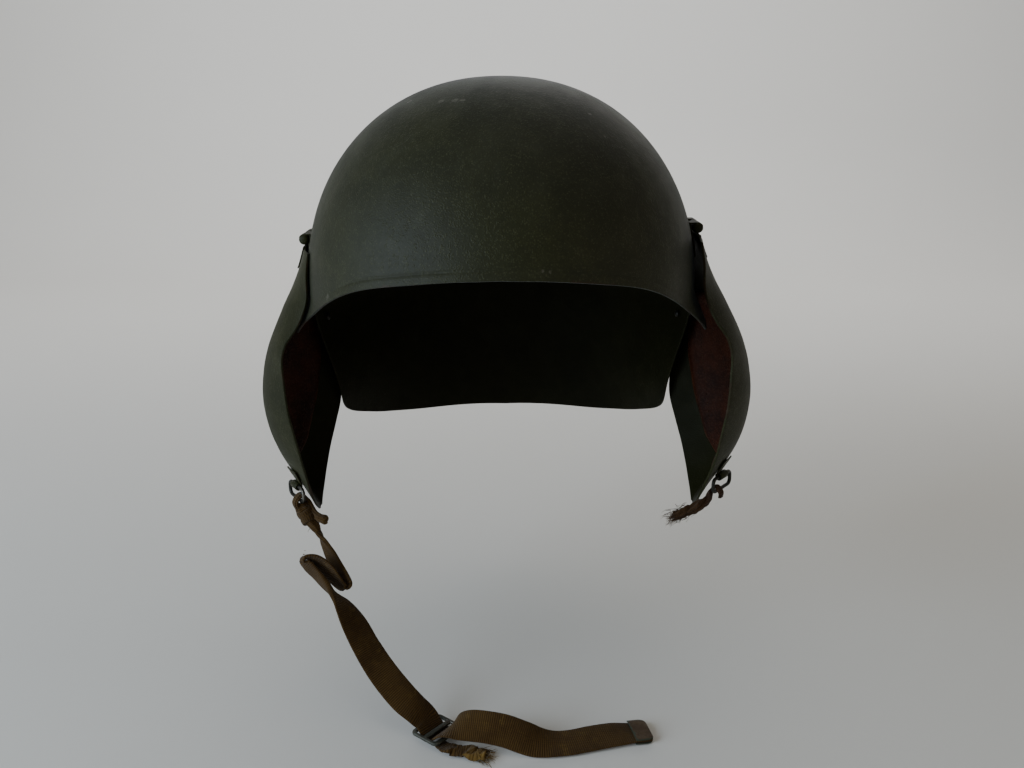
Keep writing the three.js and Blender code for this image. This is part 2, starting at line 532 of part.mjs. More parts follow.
function bailFrame(side) {
  const below = BAIL.below - side.lower;
  const [front, rear] = [always(BAIL.place - NEARBY.place), always(BAIL.place + NEARBY.place)];
  const patch = platePatch(below - NEARBY.below, below + NEARBY.below, front, rear, side);
  const normal = normalOf(patch, 0.5, 0.5);
  const centre = patch(0.5, 0.5).addScaledVector(normal, BAIL.standOff);
  const forward = patch(0, 0.5).sub(patch(1, 0.5)).setZ(0).normalize();
  forward.applyAxisAngle(new THREE.Vector3(0, 0, 1), -degToRad(side.bailTurn));
  const down = new THREE.Vector3(0, 0, -1);
  const across = new THREE.Vector3().crossVectors(forward, down).normalize();
  return { below, centre, forward, down, across };
}

// A rounded rectangle of wire that hangs from its upper bar
function bailGeometry(side) {
  const { centre, forward, down, across } = bailFrame(side);
  const { corner } = BAIL;
  const halfLength = BAIL.inner / 2 + BAIL.wire;
  const height = BAIL.drop + 2 * BAIL.wire;
  const outline = new THREE.Path();
  outline.moveTo(-halfLength + corner, 0);
  outline.lineTo(halfLength - corner, 0);
  outline.absarc(halfLength - corner, corner, corner, -Math.PI / 2, 0);
  outline.lineTo(halfLength, height - corner);
  outline.absarc(halfLength - corner, height - corner, corner, 0, Math.PI / 2);
  outline.lineTo(-halfLength + corner, height);
  outline.absarc(-halfLength + corner, height - corner, corner, Math.PI / 2, Math.PI);
  outline.lineTo(-halfLength, corner);
  outline.absarc(-halfLength + corner, corner, corner, Math.PI, 1.5 * Math.PI);
  const steps = 24;
  const sides = 6;
  const rings = [];
  for (let i = 0; i < steps; i += 1) {
    const at = outline.getPointAt(i / steps);
    const along = outline.getTangentAt(i / steps);
    const inward = new THREE.Vector2(-along.y, along.x);
    const ring = [];
    for (let j = 0; j < sides; j += 1) {
      const angle = (j / sides) * 2 * Math.PI;
      const inPlane = at.clone().addScaledVector(inward, BAIL.wire * Math.cos(angle));
      ring.push(centre.clone()
        .addScaledVector(forward, inPlane.x)
        .addScaledVector(down, inPlane.y)
        .addScaledVector(across, BAIL.wire * Math.sin(angle)));
    }
    rings.push(ring);
  }
  return tube(rings, true);
}

function lugGeometry(side) {
  const { below, centre, forward } = bailFrame(side);
  const share = LUG.width / 2 / Math.abs(plateCurves.frontY(below));
  const [front, rear] = [always(BAIL.place - share), always(BAIL.place + share)];
  const patch = platePatch(below - LUG.length, below - LUG.overlap, front, rear, side);
  const strip = slab(patch, 2, 3, LUG.clear, LUG.clear + LUG.thickness);
  const turn = new THREE.Quaternion().setFromUnitVectors(new THREE.Vector3(0, 1, 0), forward);
  const roll = (radius, length) => new THREE.CylinderGeometry(radius, radius, length, 12)
    .applyQuaternion(turn)
    .translate(centre.x, centre.y, centre.z);
  return cut(joined([strip, roll(LUG.eye, LUG.width)]), [roll(LUG.bore, LUG.width + 2 * PAST)]);
}

// Webbing

const BEVEL = 0.4;

// A ribbon along a table's rows: a flat section with bevelled edges, square to the way
function ribbonGeometry(rows) {
  const centres = rows.map((row) => new THREE.Vector3(row.x, row.y, row.z));
  const rings = rows.map((row, i) => {
    const before = centres[Math.max(i - 1, 0)];
    const after = centres[Math.min(i + 1, rows.length - 1)];
    const along = after.clone().sub(before).normalize();
    const across = new THREE.Vector3(row.acrossX, row.acrossY, row.acrossZ).projectOnPlane(along).normalize();
    const up = new THREE.Vector3().crossVectors(along, across);
    const [half, high] = [row.wide / 2, row.thick / 2];
    const bevel = BEVEL * high;
    const section = [
      [half - bevel, -high], [half, bevel - high], [half, high - bevel], [half - bevel, high],
      [bevel - half, high], [-half, high - bevel], [-half, bevel - high], [bevel - half, -high],
    ];
    return section.map(([a, b]) => centres[i].clone().addScaledVector(across, a).addScaledVector(up, b));
  });
  return tube(rings, false);
}

// Three-bar buckle: a plate with rounded corners and two slots, lying with its bars across the strap
function buckleMesh() {
  const { length, width, thickness, corner, endBar, middleBar, rail } = BUCKLE;
  const [halfX, halfY] = [length / 2 - corner, width / 2 - corner];
  const outline = new THREE.Shape();
  outline.absarc(halfX, halfY, corner, 0, Math.PI / 2);
  outline.absarc(-halfX, halfY, corner, Math.PI / 2, Math.PI);
  outline.absarc(-halfX, -halfY, corner, Math.PI, 1.5 * Math.PI);
  outline.absarc(halfX, -halfY, corner, 1.5 * Math.PI, 2 * Math.PI);
  const sheet = { depth: thickness, bevelEnabled: false, curveSegments: 3 };
  const plate = new THREE.ExtrudeGeometry(outline, sheet);
  const slot = length / 2 - endBar - middleBar / 2;
  const tools = [-1, 1].map((sign) => {
    const box = new THREE.BoxGeometry(slot, width - 2 * rail, thickness + 2 * PAST);
    return box.translate((sign * (middleBar + slot)) / 2, 0, 0);
  });
  const mesh = new THREE.Mesh(cut(plate.translate(0, 0, -thickness / 2), tools), buckleMetal);
  mesh.position.set(BUCKLE_PLACE.x, BUCKLE_PLACE.y, BUCKLE_PLACE.z);
  mesh.rotation.z = degToRad(BUCKLE_PLACE.turn);
  return mesh;
}

// Clip of thin sheet folded round the strap's end, in line with the strap's last rows
function clipMesh() {
  const { length, width, thickness, wall } = CLIP;
  const high = thickness / 2;
  const profile = new THREE.Shape([
    new THREE.Vector2(0, -high),
    new THREE.Vector2(length, -high),
    new THREE.Vector2(length, high),
    new THREE.Vector2(0, high),
    new THREE.Vector2(0, high - wall),
    new THREE.Vector2(length - wall, high - wall),
    new THREE.Vector2(length - wall, wall - high),
    new THREE.Vector2(0, wall - high),
  ]);
  const geometry = new THREE.ExtrudeGeometry(profile, { depth: width, bevelEnabled: false });
  const mesh = new THREE.Mesh(geometry.translate(0, 0, -width / 2), buckleMetal);
  const [mouth, end] = [STRAP.at(-3), STRAP.at(-1)].map((row) => new THREE.Vector3(row.x, row.y, row.z));
  const along = end.clone().sub(mouth).normalize();
  const { acrossX, acrossY, acrossZ } = STRAP.at(-1);
  const across = new THREE.Vector3(acrossX, acrossY, acrossZ).projectOnPlane(along).normalize();
  mesh.position.copy(mouth);
  const basis = new THREE.Matrix4().makeBasis(along, across.clone().cross(along), across);
  mesh.quaternion.setFromRotationMatrix(basis);
  return mesh;
}

// Temple studs on the shell's inner face, behind the ear cut-out

function studMesh(side) {
  const profile = [
    new THREE.Vector2(0, 0),
    new THREE.Vector2(STUD.radius, 0),
    new THREE.Vector2(STUD.radius * 0.86, STUD.height * 0.6),
    new THREE.Vector2(STUD.radius * 0.45, STUD.height * 0.95),
    new THREE.Vector2(0, STUD.height),
  ];
  const mesh = new THREE.Mesh(new THREE.LatheGeometry(profile, 12), wornSteel);
  const bearing = side.sign > 0 ? STUD.bearing : 360 - STUD.bearing;
  const inward = shellNormal(bearing, STUD.drop).negate();
  mesh.position.copy(shellPoint(bearing, STUD.drop)).addScaledVector(inward, STEEL + STUD.clear);
  mesh.quaternion.setFromUnitVectors(new THREE.Vector3(0, 1, 0), inward);
  return mesh;
}

// Assembly

const helmet = new THREE.Group();

function add(parent, name, geometry, material) {
  const mesh = new THREE.Mesh(geometry, material);
  mesh.name = name;
  parent.add(mesh);
  return mesh;
}

add(helmet, 'shell', shellGeometry(), paint);

for (const side of SIDES) {
  const hand = (geometry) => (side.sign > 0 ? geometry : mirrored(geometry));
  const stud = studMesh(side);
  stud.name = `temple_stud_${side.name}`;
  helmet.add(stud);

  const fixed = new THREE.Group();
  fixed.position.set(side.sign * HINGE.pinX, 0, STEEL - side.pinDrop);
  add(fixed, `hinge_shell_leaf_${side.name}`, hand(shellLeafGeometry(side)), paint);
  add(fixed, `hinge_pin_${side.name}`, pinGeometry(), paint);
  helmet.add(fixed);

  const moving = new THREE.Group();
  moving.position.copy(fixed.position);
  moving.rotation.y = degToRad(-side.sign * side.swing);
  add(moving, `ear_plate_${side.name}`, hand(plateGeometry(side)), paint);
  add(moving, `ear_pad_${side.name}`, hand(padGeometry(side)), leather);
  add(moving, `hinge_plate_leaf_${side.name}`, hand(plateLeafGeometry(side)), paint);
  add(moving, `bail_lug_${side.name}`, hand(lugGeometry(side)), paint);
  add(moving, `bail_${side.name}`, hand(bailGeometry(side)), wornSteel);
  helmet.add(moving);
}

add(helmet, 'chin_strap', ribbonGeometry(STRAP), webbing);
add(helmet, 'strap_tail', ribbonGeometry(TAIL), webbing);
add(helmet, 'strap_remnant', ribbonGeometry(REMNANT), redWebbing);
const buckle = buckleMesh();
buckle.name = 'strap_buckle';
const clip = clipMesh();
clip.name = 'strap_tip';
helmet.add(buckle, clip);

export default helmet;
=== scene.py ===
"""Steel flak helmet with hinged ear plates and a tied webbing chin strap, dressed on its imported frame.

Every table is in millimetres, +Z up, with the brow towards -Y and the wearer's left towards +X. Points become
metres where a mesh is made. Each sub-assembly is a class that holds its sizes, builds its surfaces as whole
numpy arrays and dresses them with its finish.
"""

import logging
import math
from dataclasses import dataclass, field
from enum import Enum
from typing import Any, Optional, Sequence

import bpy
import numpy as np
from mathutils import Matrix

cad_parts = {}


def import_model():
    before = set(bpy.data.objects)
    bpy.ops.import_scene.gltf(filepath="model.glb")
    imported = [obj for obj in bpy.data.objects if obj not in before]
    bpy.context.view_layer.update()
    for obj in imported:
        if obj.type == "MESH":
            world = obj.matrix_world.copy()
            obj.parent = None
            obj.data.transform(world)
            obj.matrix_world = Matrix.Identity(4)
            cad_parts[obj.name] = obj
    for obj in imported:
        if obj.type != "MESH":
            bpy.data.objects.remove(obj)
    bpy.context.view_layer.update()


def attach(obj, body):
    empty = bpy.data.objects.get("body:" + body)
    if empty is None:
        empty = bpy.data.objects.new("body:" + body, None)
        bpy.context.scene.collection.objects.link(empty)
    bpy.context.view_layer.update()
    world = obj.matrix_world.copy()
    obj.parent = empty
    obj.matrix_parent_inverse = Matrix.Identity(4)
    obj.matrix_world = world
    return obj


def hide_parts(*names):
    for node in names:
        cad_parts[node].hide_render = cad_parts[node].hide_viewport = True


Array = np.ndarray
Material, Piece, Socket, Tree = bpy.types.Material, bpy.types.Object, bpy.types.NodeSocket, bpy.types.NodeTree
Colour = tuple[float, float, float]
Point = tuple[float, float, float]

MM = 0.001
STEEL = 1.3
GAP = 0.3
FLOOR_Z = -391.3
FULL_TURN = 2 * math.pi
FAR_FROM_EDGE = 50.0
SHARP_ANGLE = 40
ALONG_PIN = np.array([0, 1, 0])
SENSOR_WIDTH = 36
LOG = logging.getLogger("helmet")


class Body(Enum):
    """The rigid bodies that pieces ride on."""

    HELMET = "helmet"
    LEFT_PLATE = "left_plate"


class Slot(Enum):
    """The record's material slots."""

    PAINT = "paint"
    WORN_STEEL = "worn_steel"
    LEATHER = "leather"
    WEBBING = "webbing"
    RED_WEBBING = "red_webbing"
    BUCKLE_METAL = "buckle_metal"


# Lower edge of the shell: bearing in degrees from the brow towards a side, and drop below the crown's top
RIM = np.array([
    (0, 101), (12, 102), (24, 104.8), (36, 109), (45, 114.5), (53, 121.5), (61, 129.5), (68, 138), (74, 147),
    (78.5, 150), (83, 143), (88, 133), (94, 131), (99, 138), (103, 154), (106, 177), (108, 202), (109.5, 219),
    (113.5, 227), (121, 233.5), (132, 240.5), (150, 247), (180, 250),
])

# Level sections of an ear plate's outer face: distance below the pin, the front edge's place and distance
# from the middle, the same of the outermost point and of the rear edge, and how squarely the face turns
PLATE = np.array([
    (4.3, -43, 113.3, 0, 121, 44, 113.4, 2.3),
    (16, -48, 114.2, 0, 124.9, 49, 115.2, 2.3),
    (30, -50, 114.4, 0, 131.4, 51, 117.2, 2.3),
    (40, -51, 117.6, 0, 136.7, 52, 119.5, 2.3),
    (48, -52, 122, 0, 140.4, 53, 121.5, 2.3),
    (56, -52, 128, 0, 144, 54, 122.5, 2.3),
    (66, -52, 131.2, 0, 148.2, 54, 122.3, 2.3),
    (80, -51, 131.4, 0, 152.4, 54, 119.6, 2.3),
    (100, -49, 130.6, 0, 155, 54, 116.8, 2.3),
    (120, -44, 128.3, 1, 153.6, 52, 115.8, 2.2),
    (138, -38, 126.5, 3, 149.4, 45, 119.5, 1.9),
    (152, -32, 125.3, 6, 144.2, 36, 122.5, 1.6),
    (164, -25, 124.6, 7, 137.6, 26, 124, 1.4),
    (173, -18, 124.2, 4, 130.8, 15, 124.3, 1.4),
    (179, -10, 124, 0, 126, 5, 124.2, 1.6),
    (181.5, -6, 123.9, -2, 124.7, 1, 124.1, 2),
])

# How far back the lining pad reaches, as a share of the way to the plate's rear edge
PAD_REAR = np.array([(45, 0.86), (80, 0.88), (106, 0.82), (125, 0.74), (142, 0.6), (152, 0.4)])

# The chin strap's route from its rolled stub to its tip: centre line, direction across, width and thickness
STRAP = np.array([
    (-115.5, -31, -272.5, 0.3, 0, 0.95, 6, 5.5),
    (-119.5, -28.5, -272, 0.3, 0, 0.95, 5, 4.5),
    (-123.5, -25, -270.5, 0.4, -0.2, 0.85, 4.5, 4),
    (-127, -21, -267, 0.6, -0.6, 0.5, 5, 4),
    (-128.8, -19.4, -263, 0.54, -0.84, 0, 6, 3),
    (-132.2, -21.7, -258.9, 0.54, -0.84, 0, 6, 3),
    (-135.6, -24, -263, 0.54, -0.84, 0, 6, 3),
    (-134.2, -23.6, -267.6, 0.54, -0.84, 0, 6, 3.4),
    (-130, -22.5, -272, 0.4, -0.85, 0.2, 5, 4),
    (-126, -23.5, -277, 0.1, -0.93, 0.2, 5, 4),
    (-121.3, -27, -283, -0.2, -0.93, 0.2, 5, 3.6),
    (-117, -31, -289, 0.55, -0.65, 0.5, 8, 3.4),
    (-113.2, -34, -295, 0.62, -0.53, 0.56, 11, 3.2),
    (-108.3, -38.5, -302.4, 0.62, -0.51, 0.59, 13, 3),
    (-103.6, -42, -309.2, 0.62, -0.51, 0.59, 13, 2.6),
    (-101.5, -43.7, -312.8, 0.6, -0.55, 0.56, 12, 2.2),
    (-103.6, -44.6, -314.4, 0.55, -0.62, 0.55, 12, 2),
    (-108.8, -45, -308, 0.6, -0.53, 0.6, 13, 2),
    (-114.1, -45, -299.6, 0.61, -0.49, 0.62, 13, 2),
    (-120, -45, -294, 0.6, -0.5, 0.62, 12, 2.3),
    (-126, -45, -292.3, 0.5, -0.68, 0.52, 11, 2.8),
    (-128.2, -45.5, -294.3, 0.5, -0.68, 0.52, 11, 2.8),
    (-125, -46.5, -297.7, 0.6, -0.55, 0.57, 12, 2.6),
    (-119.5, -48, -303.3, 0.54, -0.64, 0.54, 13, 3),
    (-113.7, -50.5, -309.2, 0.42, -0.75, 0.5, 13, 4.4),
    (-109, -52.7, -314.4, 0.1, -0.9, 0.4, 14, 4.6),
    (-103, -55.8, -319.9, -0.32, -0.9, 0.2, 17, 2.8),
    (-95.3, -61.7, -330.2, -0.58, -0.81, -0.03, 19, 1.7),
    (-87, -68.8, -342.5, -0.67, -0.73, -0.14, 19, 1.7),
    (-76.2, -76.8, -356.1, -0.74, -0.63, -0.24, 19, 1.7),
    (-63.5, -83.6, -369.3, -0.74, -0.6, -0.28, 19, 1.7),
    (-54.6, -86.6, -376.8, -0.68, -0.72, -0.1, 19, 1.7),
    (-49.3, -87.3, -381.9, -0.643, -0.766, 0, 19, 1.7),
    (-46, -90.1, -386.2, -0.643, -0.766, 0, 19, 1.7),
    (-44.2, -91.6, -388.3, -0.643, -0.766, 0, 19, 1.7),
    (-42.2, -93.3, -388.6, -0.643, -0.766, 0, 19, 1.7),
    (-40.2, -95, -388.3, -0.643, -0.766, 0, 19, 1.7),
    (-38.4, -96.5, -386.2, -0.643, -0.766, 0, 19, 1.7),
    (-35.6, -98.8, -382.5, -0.66, -0.74, -0.1, 19, 1.7),
    (-29.5, -101, -378.5, -0.65, -0.6, -0.45, 19, 1.7),
    (-20.5, -103.5, -376.2, -0.6, -0.5, -0.6, 19, 1.7),
    (-9.5, -106, -376, -0.6, -0.5, -0.6, 19, 1.7),
    (0.5, -107.4, -377.6, -0.6, -0.5, -0.6, 19, 1.7),
    (10, -108.4, -381, -0.6, -0.55, -0.55, 19, 1.7),
    (19.5, -107.9, -385, -0.5, -0.75, -0.35, 19, 1.7),
    (29.5, -106.9, -387, -0.35, -0.9, -0.2, 19, 1.7),
    (40, -105, -387.6, -0.3, -0.93, -0.18, 19, 1.7),
    (53, -101.5, -387.4, -0.22, -0.95, -0.2, 19, 1.7),
    (66, -98, -387.4, -0.2, -0.95, -0.14, 19, 1.7),
    (77.4, -94.8, -388.35, -0.196, -0.98, 0, 19, 1.7),
    (82.6, -93.75, -388.6, -0.196, -0.98, 0, 19, 1.7),
    (87.9, -92.7, -388.85, -0.196, -0.98, 0, 19, 1.7),
])

# The frayed end of webbing that comes out under the buckle
TAIL = np.array([
    (-40.7, -101.8, -388.8, -0.643, -0.766, 0, 8, 1.6),
    (-36.8, -106.3, -389, -0.6, -0.8, 0, 9, 1.6),
    (-30, -109.8, -389, -0.4, -0.92, 0, 10, 2.4),
    (-20.5, -112.6, -389, -0.25, -0.97, 0, 11, 3),
    (-11.5, -114.2, -388.8, -0.25, -0.97, 0, 10.5, 3.2),
])

# The knot below the right bail, laid out as the strap is
KNOT = np.array([
    (-132.3, -22.1, -264.4, 0.54, -0.84, 0, 5, 6.4),
    (-131.6, -22.4, -267.4, 0.5, -0.84, 0, 9, 9),
    (-128.4, -23.2, -272.4, 0.4, -0.9, 0, 10, 9.2),
    (-125, -24.6, -277.6, 0.3, -0.9, 0, 8.5, 7.4),
    (-121.6, -26.6, -282.4, 0.2, -0.9, 0, 5.5, 4.5),
])

# What is left of the torn strap on the left bail
REMNANT = np.array([
    (140.4, -25.8, -261.4, -0.64, -0.77, 0, 5, 2),
    (140.6, -25.8, -258, -0.64, -0.77, 0, 5.5, 2),
    (138, -23.6, -254.6, -0.64, -0.77, 0, 5.5, 2),
    (135.4, -21.4, -258, -0.64, -0.77, 0, 5.5, 2),
    (133, -24, -262.6, -0.5, -0.8, 0.3, 6.5, 4),
    (127, -27.5, -266, -0.3, -0.75, 0.6, 8, 5.4),
    (118.5, -29, -269.5, -0.3, -0.7, 0.6, 8, 5),
    (110, -30, -272.5, -0.3, -0.6, 0.7, 7.5, 3.4),
])


# Arrays


def smoothstep(x: Array, low: float, high: float) -> Array:
    """Gives 0 below low, 1 above high and the smooth cubic 3t2 - 2t3 between."""
    t = np.clip((np.asarray(x, float) - low) / (high - low), 0, 1)
    return t * t * (3 - 2 * t)


def blend(a: Any, b: Any, t: Array) -> Array:
    """Gives a at t = 0 and b at t = 1, straight between."""
    return a + (b - a) * t


def unit(v: Array) -> Array:
    """Scales vectors in the last axis to length one."""
    return v / np.maximum(np.linalg.norm(v, axis=-1, keepdims=True), 1e-9)


def circle(sides: int) -> Array:
    """Angles of evenly spaced points round a circle, from zero."""
    return np.linspace(0, FULL_TURN, sides, endpoint=False)


def grid_of(down: Array, along: Array) -> tuple[Array, Array]:
    """Two coordinates over a grid, the first down its rows and the second along them."""
    return np.meshgrid(down, along, indexing="ij")


def walk(line: Array, length: Array, at: Array) -> Array:
    """Columns of a line's points at distances along it, straight between its own."""
    return np.stack([np.interp(at, length, column) for column in line.T], -1)


def waver(x: Array, seed: int) -> Array:
    """A smooth wandering line between about -1 and 1: a sum of four sines whose phases come from the seed."""
    rng = np.random.default_rng(seed)
    phases = rng.uniform(0, FULL_TURN, 4)
    rates = np.array([1, 2.3, 3.9, 6.7]) * rng.uniform(0.85, 1.15, 4)
    weights = np.array([0.5, 0.28, 0.14, 0.08])
    return (weights * np.sin(np.asarray(x)[..., None] * rates + phases)).sum(-1)


def through(rows: Array, x: Array) -> Array:
    """Reads a table at x by a smooth curve through its rows.

    Between two rows each column is the cubic Hermite curve whose slope at a row is the slope between its two
    neighbours, and at the ends the slope of the last span.

    Args:
        rows: table with its key in the first column.
        x: places along the key, of any shape.

    Returns:
        The other columns at x, in a new last axis.
    """
    key, value = rows[:, 0], rows[:, 1:]
    count = len(rows)
    before = np.maximum(np.arange(count) - 1, 0)
    after = np.minimum(np.arange(count) + 1, count - 1)
    slope = (value[after] - value[before]) / (key[after] - key[before])[:, None]
    i = np.clip(np.searchsorted(key, x, side="right") - 1, 0, count - 2)
    span = (key[i + 1] - key[i])[..., None]
    t = np.clip((x - key[i])[..., None] / span, 0, 1)
    rise = value[i + 1] - value[i]
    bend = (1 - t) * (slope[i] * span - rise) - t * (slope[i + 1] * span - rise)
    return value[i] + t * rise + t * (1 - t) * bend


def spline(points: Array, steps: int) -> Array:
    """Catmull-Rom curve through 2-D points, with the same number of steps in each span."""
    count = len(points)
    t = np.arange((count - 1) * steps + 1) / steps
    i = np.minimum(t.astype(int), count - 2)
    w = (t - i)[:, None]
    p0, p1 = points[np.maximum(i - 1, 0)], points[i]
    p2, p3 = points[i + 1], points[np.minimum(i + 2, count - 1)]
    v0, v1 = (p2 - p0) / 2, (p3 - p1) / 2
    return (2 * p1 - 2 * p2 + v0 + v1) * w**3 + (3 * p2 - 3 * p1 - 2 * v0 - v1) * w**2 + v0 * w + p1


def grid_normals(points: Array) -> Array:
    """Unit normals of a grid of points, from the cross product of its slopes down the rows and along them."""
    down = np.gradient(points, axis=0)
    along = np.gradient(points, axis=1)
    return unit(np.cross(down, along))


def grid_quads(rows: int, columns: int, wrap_rows: bool = False, wrap_columns: bool = False,
               first: int = 0) -> Array:
    """Quads between neighbouring points of a grid, each turning from down to along.

    Args:
        rows: number of rows.
        columns: number of points in a row.
        wrap_rows: joins the last row to the first.
        wrap_columns: joins the last column to the first.
        first: index of the grid's first point.

    Returns:
        Four point indices for each quad.
    """
    r = np.arange(rows if wrap_rows else rows - 1)[:, None]
    c = np.arange(columns if wrap_columns else columns - 1)[None, :]
    below, beside = (r + 1) % rows, (c + 1) % columns
    corners = [r * columns + c, below * columns + c, below * columns + beside, r * columns + beside]
    return first + np.stack(np.broadcast_arrays(*corners), -1).reshape(-1, 4)


def arc_length(path: Array) -> Array:
    """Distance along a path at each of its points, from zero."""
    return np.concatenate([[0], np.cumsum(np.linalg.norm(np.diff(path, axis=0), axis=1))])


def route(rows: Array, step: float) -> tuple[Array, Array, Array, Array, Array]:
    """Reads a ribbon's table at even steps of the distance along its smooth centre line.

    Args:
        rows: centre points, directions across, widths and thicknesses.
        step: distance between the places, roughly.

    Returns:
        Centre points, directions across, widths, thicknesses, and distances along.
    """
    coarse = arc_length(rows[:, :3])
    fine = through(np.column_stack([coarse, rows]), np.linspace(0, coarse[-1], int(coarse[-1] * 8)))
    length = arc_length(fine[:, :3])
    even = walk(fine, length, np.linspace(0, length[-1], max(int(length[-1] / step), 8)))
    return even[:, :3], even[:, 3:6], even[:, 6], even[:, 7], arc_length(even[:, :3])


def sweep(path: Array, across: Array, wide: Array, thick: Array, sides: int, power: float = 2,
          loop: bool = False) -> Array:
    """Carries a rounded section along a path.

    A ring is path + across * wide/2 * C + up * thick/2 * S, where C and S are the cosine and sine of the
    angle, raised to 2/power with their sign kept, and up is square to the path and to across. Power 2 is an
    ellipse and a higher one is a flat band with rounded edges.

    Args:
        path: centre points, one a ring.
        across: directions across the section, roughly square to the path.
        wide: full width at each ring.
        thick: full thickness at each ring.
        sides: points in a ring.
        power: how square the section is.
        loop: the path closes on itself.

    Returns:
        Points in rings by sides.
    """
    if loop:
        along = unit(np.roll(path, -1, 0) - np.roll(path, 1, 0))
    else:
        along = unit(np.gradient(path, axis=0))
    across = unit(across - (across * along).sum(-1, keepdims=True) * along)
    up = np.cross(along, across)
    angle = circle(sides)
    c = np.sign(np.cos(angle)) * np.abs(np.cos(angle)) ** (2 / power)
    s = np.sign(np.sin(angle)) * np.abs(np.sin(angle)) ** (2 / power)
    half_wide, half_thick = np.asarray(wide)[:, None, None] / 2, np.asarray(thick)[:, None, None] / 2
    return path[:, None] + across[:, None] * half_wide * c[:, None] + up[:, None] * half_thick * s[:, None]


def revolve(profile: Array, sides: int, centre: Array, axis: Array) -> Array:
    """Turns a profile of (radius, place along the axis) about an axis through centre."""
    axis = unit(np.asarray(axis, float))
    first = unit(np.cross(axis, (0, 0, 1) if abs(axis[2]) < 0.9 else (1, 0, 0)))
    second = np.cross(axis, first)
    angle = circle(sides)[:, None]
    spoke = np.cos(angle) * first + np.sin(angle) * second
    return centre + profile[:, None, :1] * spoke + profile[:, None, 1:] * axis


# Meshes


@dataclass
class Form:
    """A mesh before Blender sees it: points, faces, and what is stored at the points.

    Attributes:
        points: one row a point.
        faces: blocks of faces, each with one number of corners.
        uv: place on the cloth of each point, along and across, or none.
        values: named numbers at the points, such as the distance to an edge.
    """

    points: Array
    faces: list[Array]
    uv: Optional[Array] = None
    values: dict[str, Array] = field(default_factory=dict)

    def flipped(self) -> "Form":
        """The same form with its faces turned round."""
        return Form(self.points, [block[:, ::-1] for block in self.faces], self.uv, self.values)

    def outward(self) -> "Form":
        """A closed form with its faces pointing out, told by the sign of its volume."""
        volume = 0.0
        for block in self.faces:
            for k in range(1, block.shape[1] - 1):
                a, b, c = (self.points[block[:, j]] for j in (0, k, k + 1))
                volume += np.einsum("ij,ij->", a, np.cross(b, c))
        return self if volume > 0 else self.flipped()


def joined(forms: Sequence[Form]) -> Form:
    """Several forms as one."""
    starts = np.cumsum([0] + [len(f.points) for f in forms])
    names = {name for f in forms for name in f.values}
    return Form(
        np.concatenate([f.points for f in forms]),
        [block + start for f, start in zip(forms, starts) for block in f.faces],
        np.concatenate([np.zeros((len(f.points), 2)) if f.uv is None else f.uv for f in forms]),
        {n: np.concatenate([f.values.get(n, np.zeros(len(f.points))) for f in forms]) for n in names},
    )


def sheet_form(points: Array, values: Optional[dict[str, Array]] = None) -> Form:
    """An open grid of points as a form."""
    flat = {name: v.reshape(-1) for name, v in (values or {}).items()}
    return Form(points.reshape(-1, 3), [grid_quads(*points.shape[:2])], None, flat)


def tube_form(rings: Array, uv: Optional[Array] = None, values: Optional[dict[str, Array]] = None,
              loop: bool = False) -> Form:
    """Rings as a closed tube: its ends are flat faces, or it is a loop."""
    count, sides = rings.shape[:2]
    faces = [grid_quads(count, sides, wrap_rows=loop, wrap_columns=True)]
    if not loop:
        ring = np.arange(sides)
        faces.append(np.stack([ring, (count - 1) * sides + ring[::-1]]))
    flat = {name: v.reshape(-1) for name, v in (values or {}).items()}
    form = Form(rings.reshape(-1, 3), faces, None if uv is None else uv.reshape(-1, 2), flat)
    return form.outward()


def beads_form(points: Array, uv: Optional[Array] = None, values: Optional[dict[str, Array]] = None) -> Form:
    """Many small closed tubes of the same make as one form, from points by tube, ring and side."""
    count, rings, sides = points.shape[:3]
    one = grid_quads(rings, sides, wrap_columns=True)
    caps = np.stack([np.arange(sides), (rings - 1) * sides + np.arange(sides)[::-1]])
    starts = (np.arange(count) * rings * sides)[:, None, None]
    faces = [(one + starts).reshape(-1, 4), (caps + starts).reshape(-1, sides)]
    return Form(points.reshape(-1, 3), faces, uv, values or {}).outward()


def settled(points: Array, above: float) -> Array:
    """Points with none lower than a little above the floor."""
    return np.concatenate([points[..., :2], np.maximum(points[..., 2:], FLOOR_Z + above)], -1)


def band_uv(path: Array, wide: Array, sides: int) -> Array:
    """Place on the webbing of each point of a swept band, in metres: distance along, and distance across."""
    angle = circle(sides)
    along = np.repeat(arc_length(path)[:, None], sides, 1)
    return np.stack([along, np.asarray(wide)[:, None] / 2 * np.cos(angle)], -1) * MM


def slab_form(outer: Array, inner: Array, values: Optional[dict[str, Array]] = None) -> Form:
    """A closed slab between two grids of the same size that face each other."""
    rows, columns = outer.shape[:2]
    index = np.arange(rows * columns).reshape(rows, columns)
    rim = np.concatenate([index[0, :-1], index[:-1, -1], index[-1, :0:-1], index[:0:-1, 0]])
    following = np.roll(rim, -1)
    layer = rows * columns
    sides = np.stack([rim, following, following + layer, rim + layer], -1)
    faces = [grid_quads(rows, columns), grid_quads(rows, columns, first=layer)[:, ::-1], sides]
    flat = {name: np.tile(v.reshape(-1), 2) for name, v in (values or {}).items()}
    return Form(np.concatenate([outer.reshape(-1, 3), inner.reshape(-1, 3)]), faces, None, flat).outward()


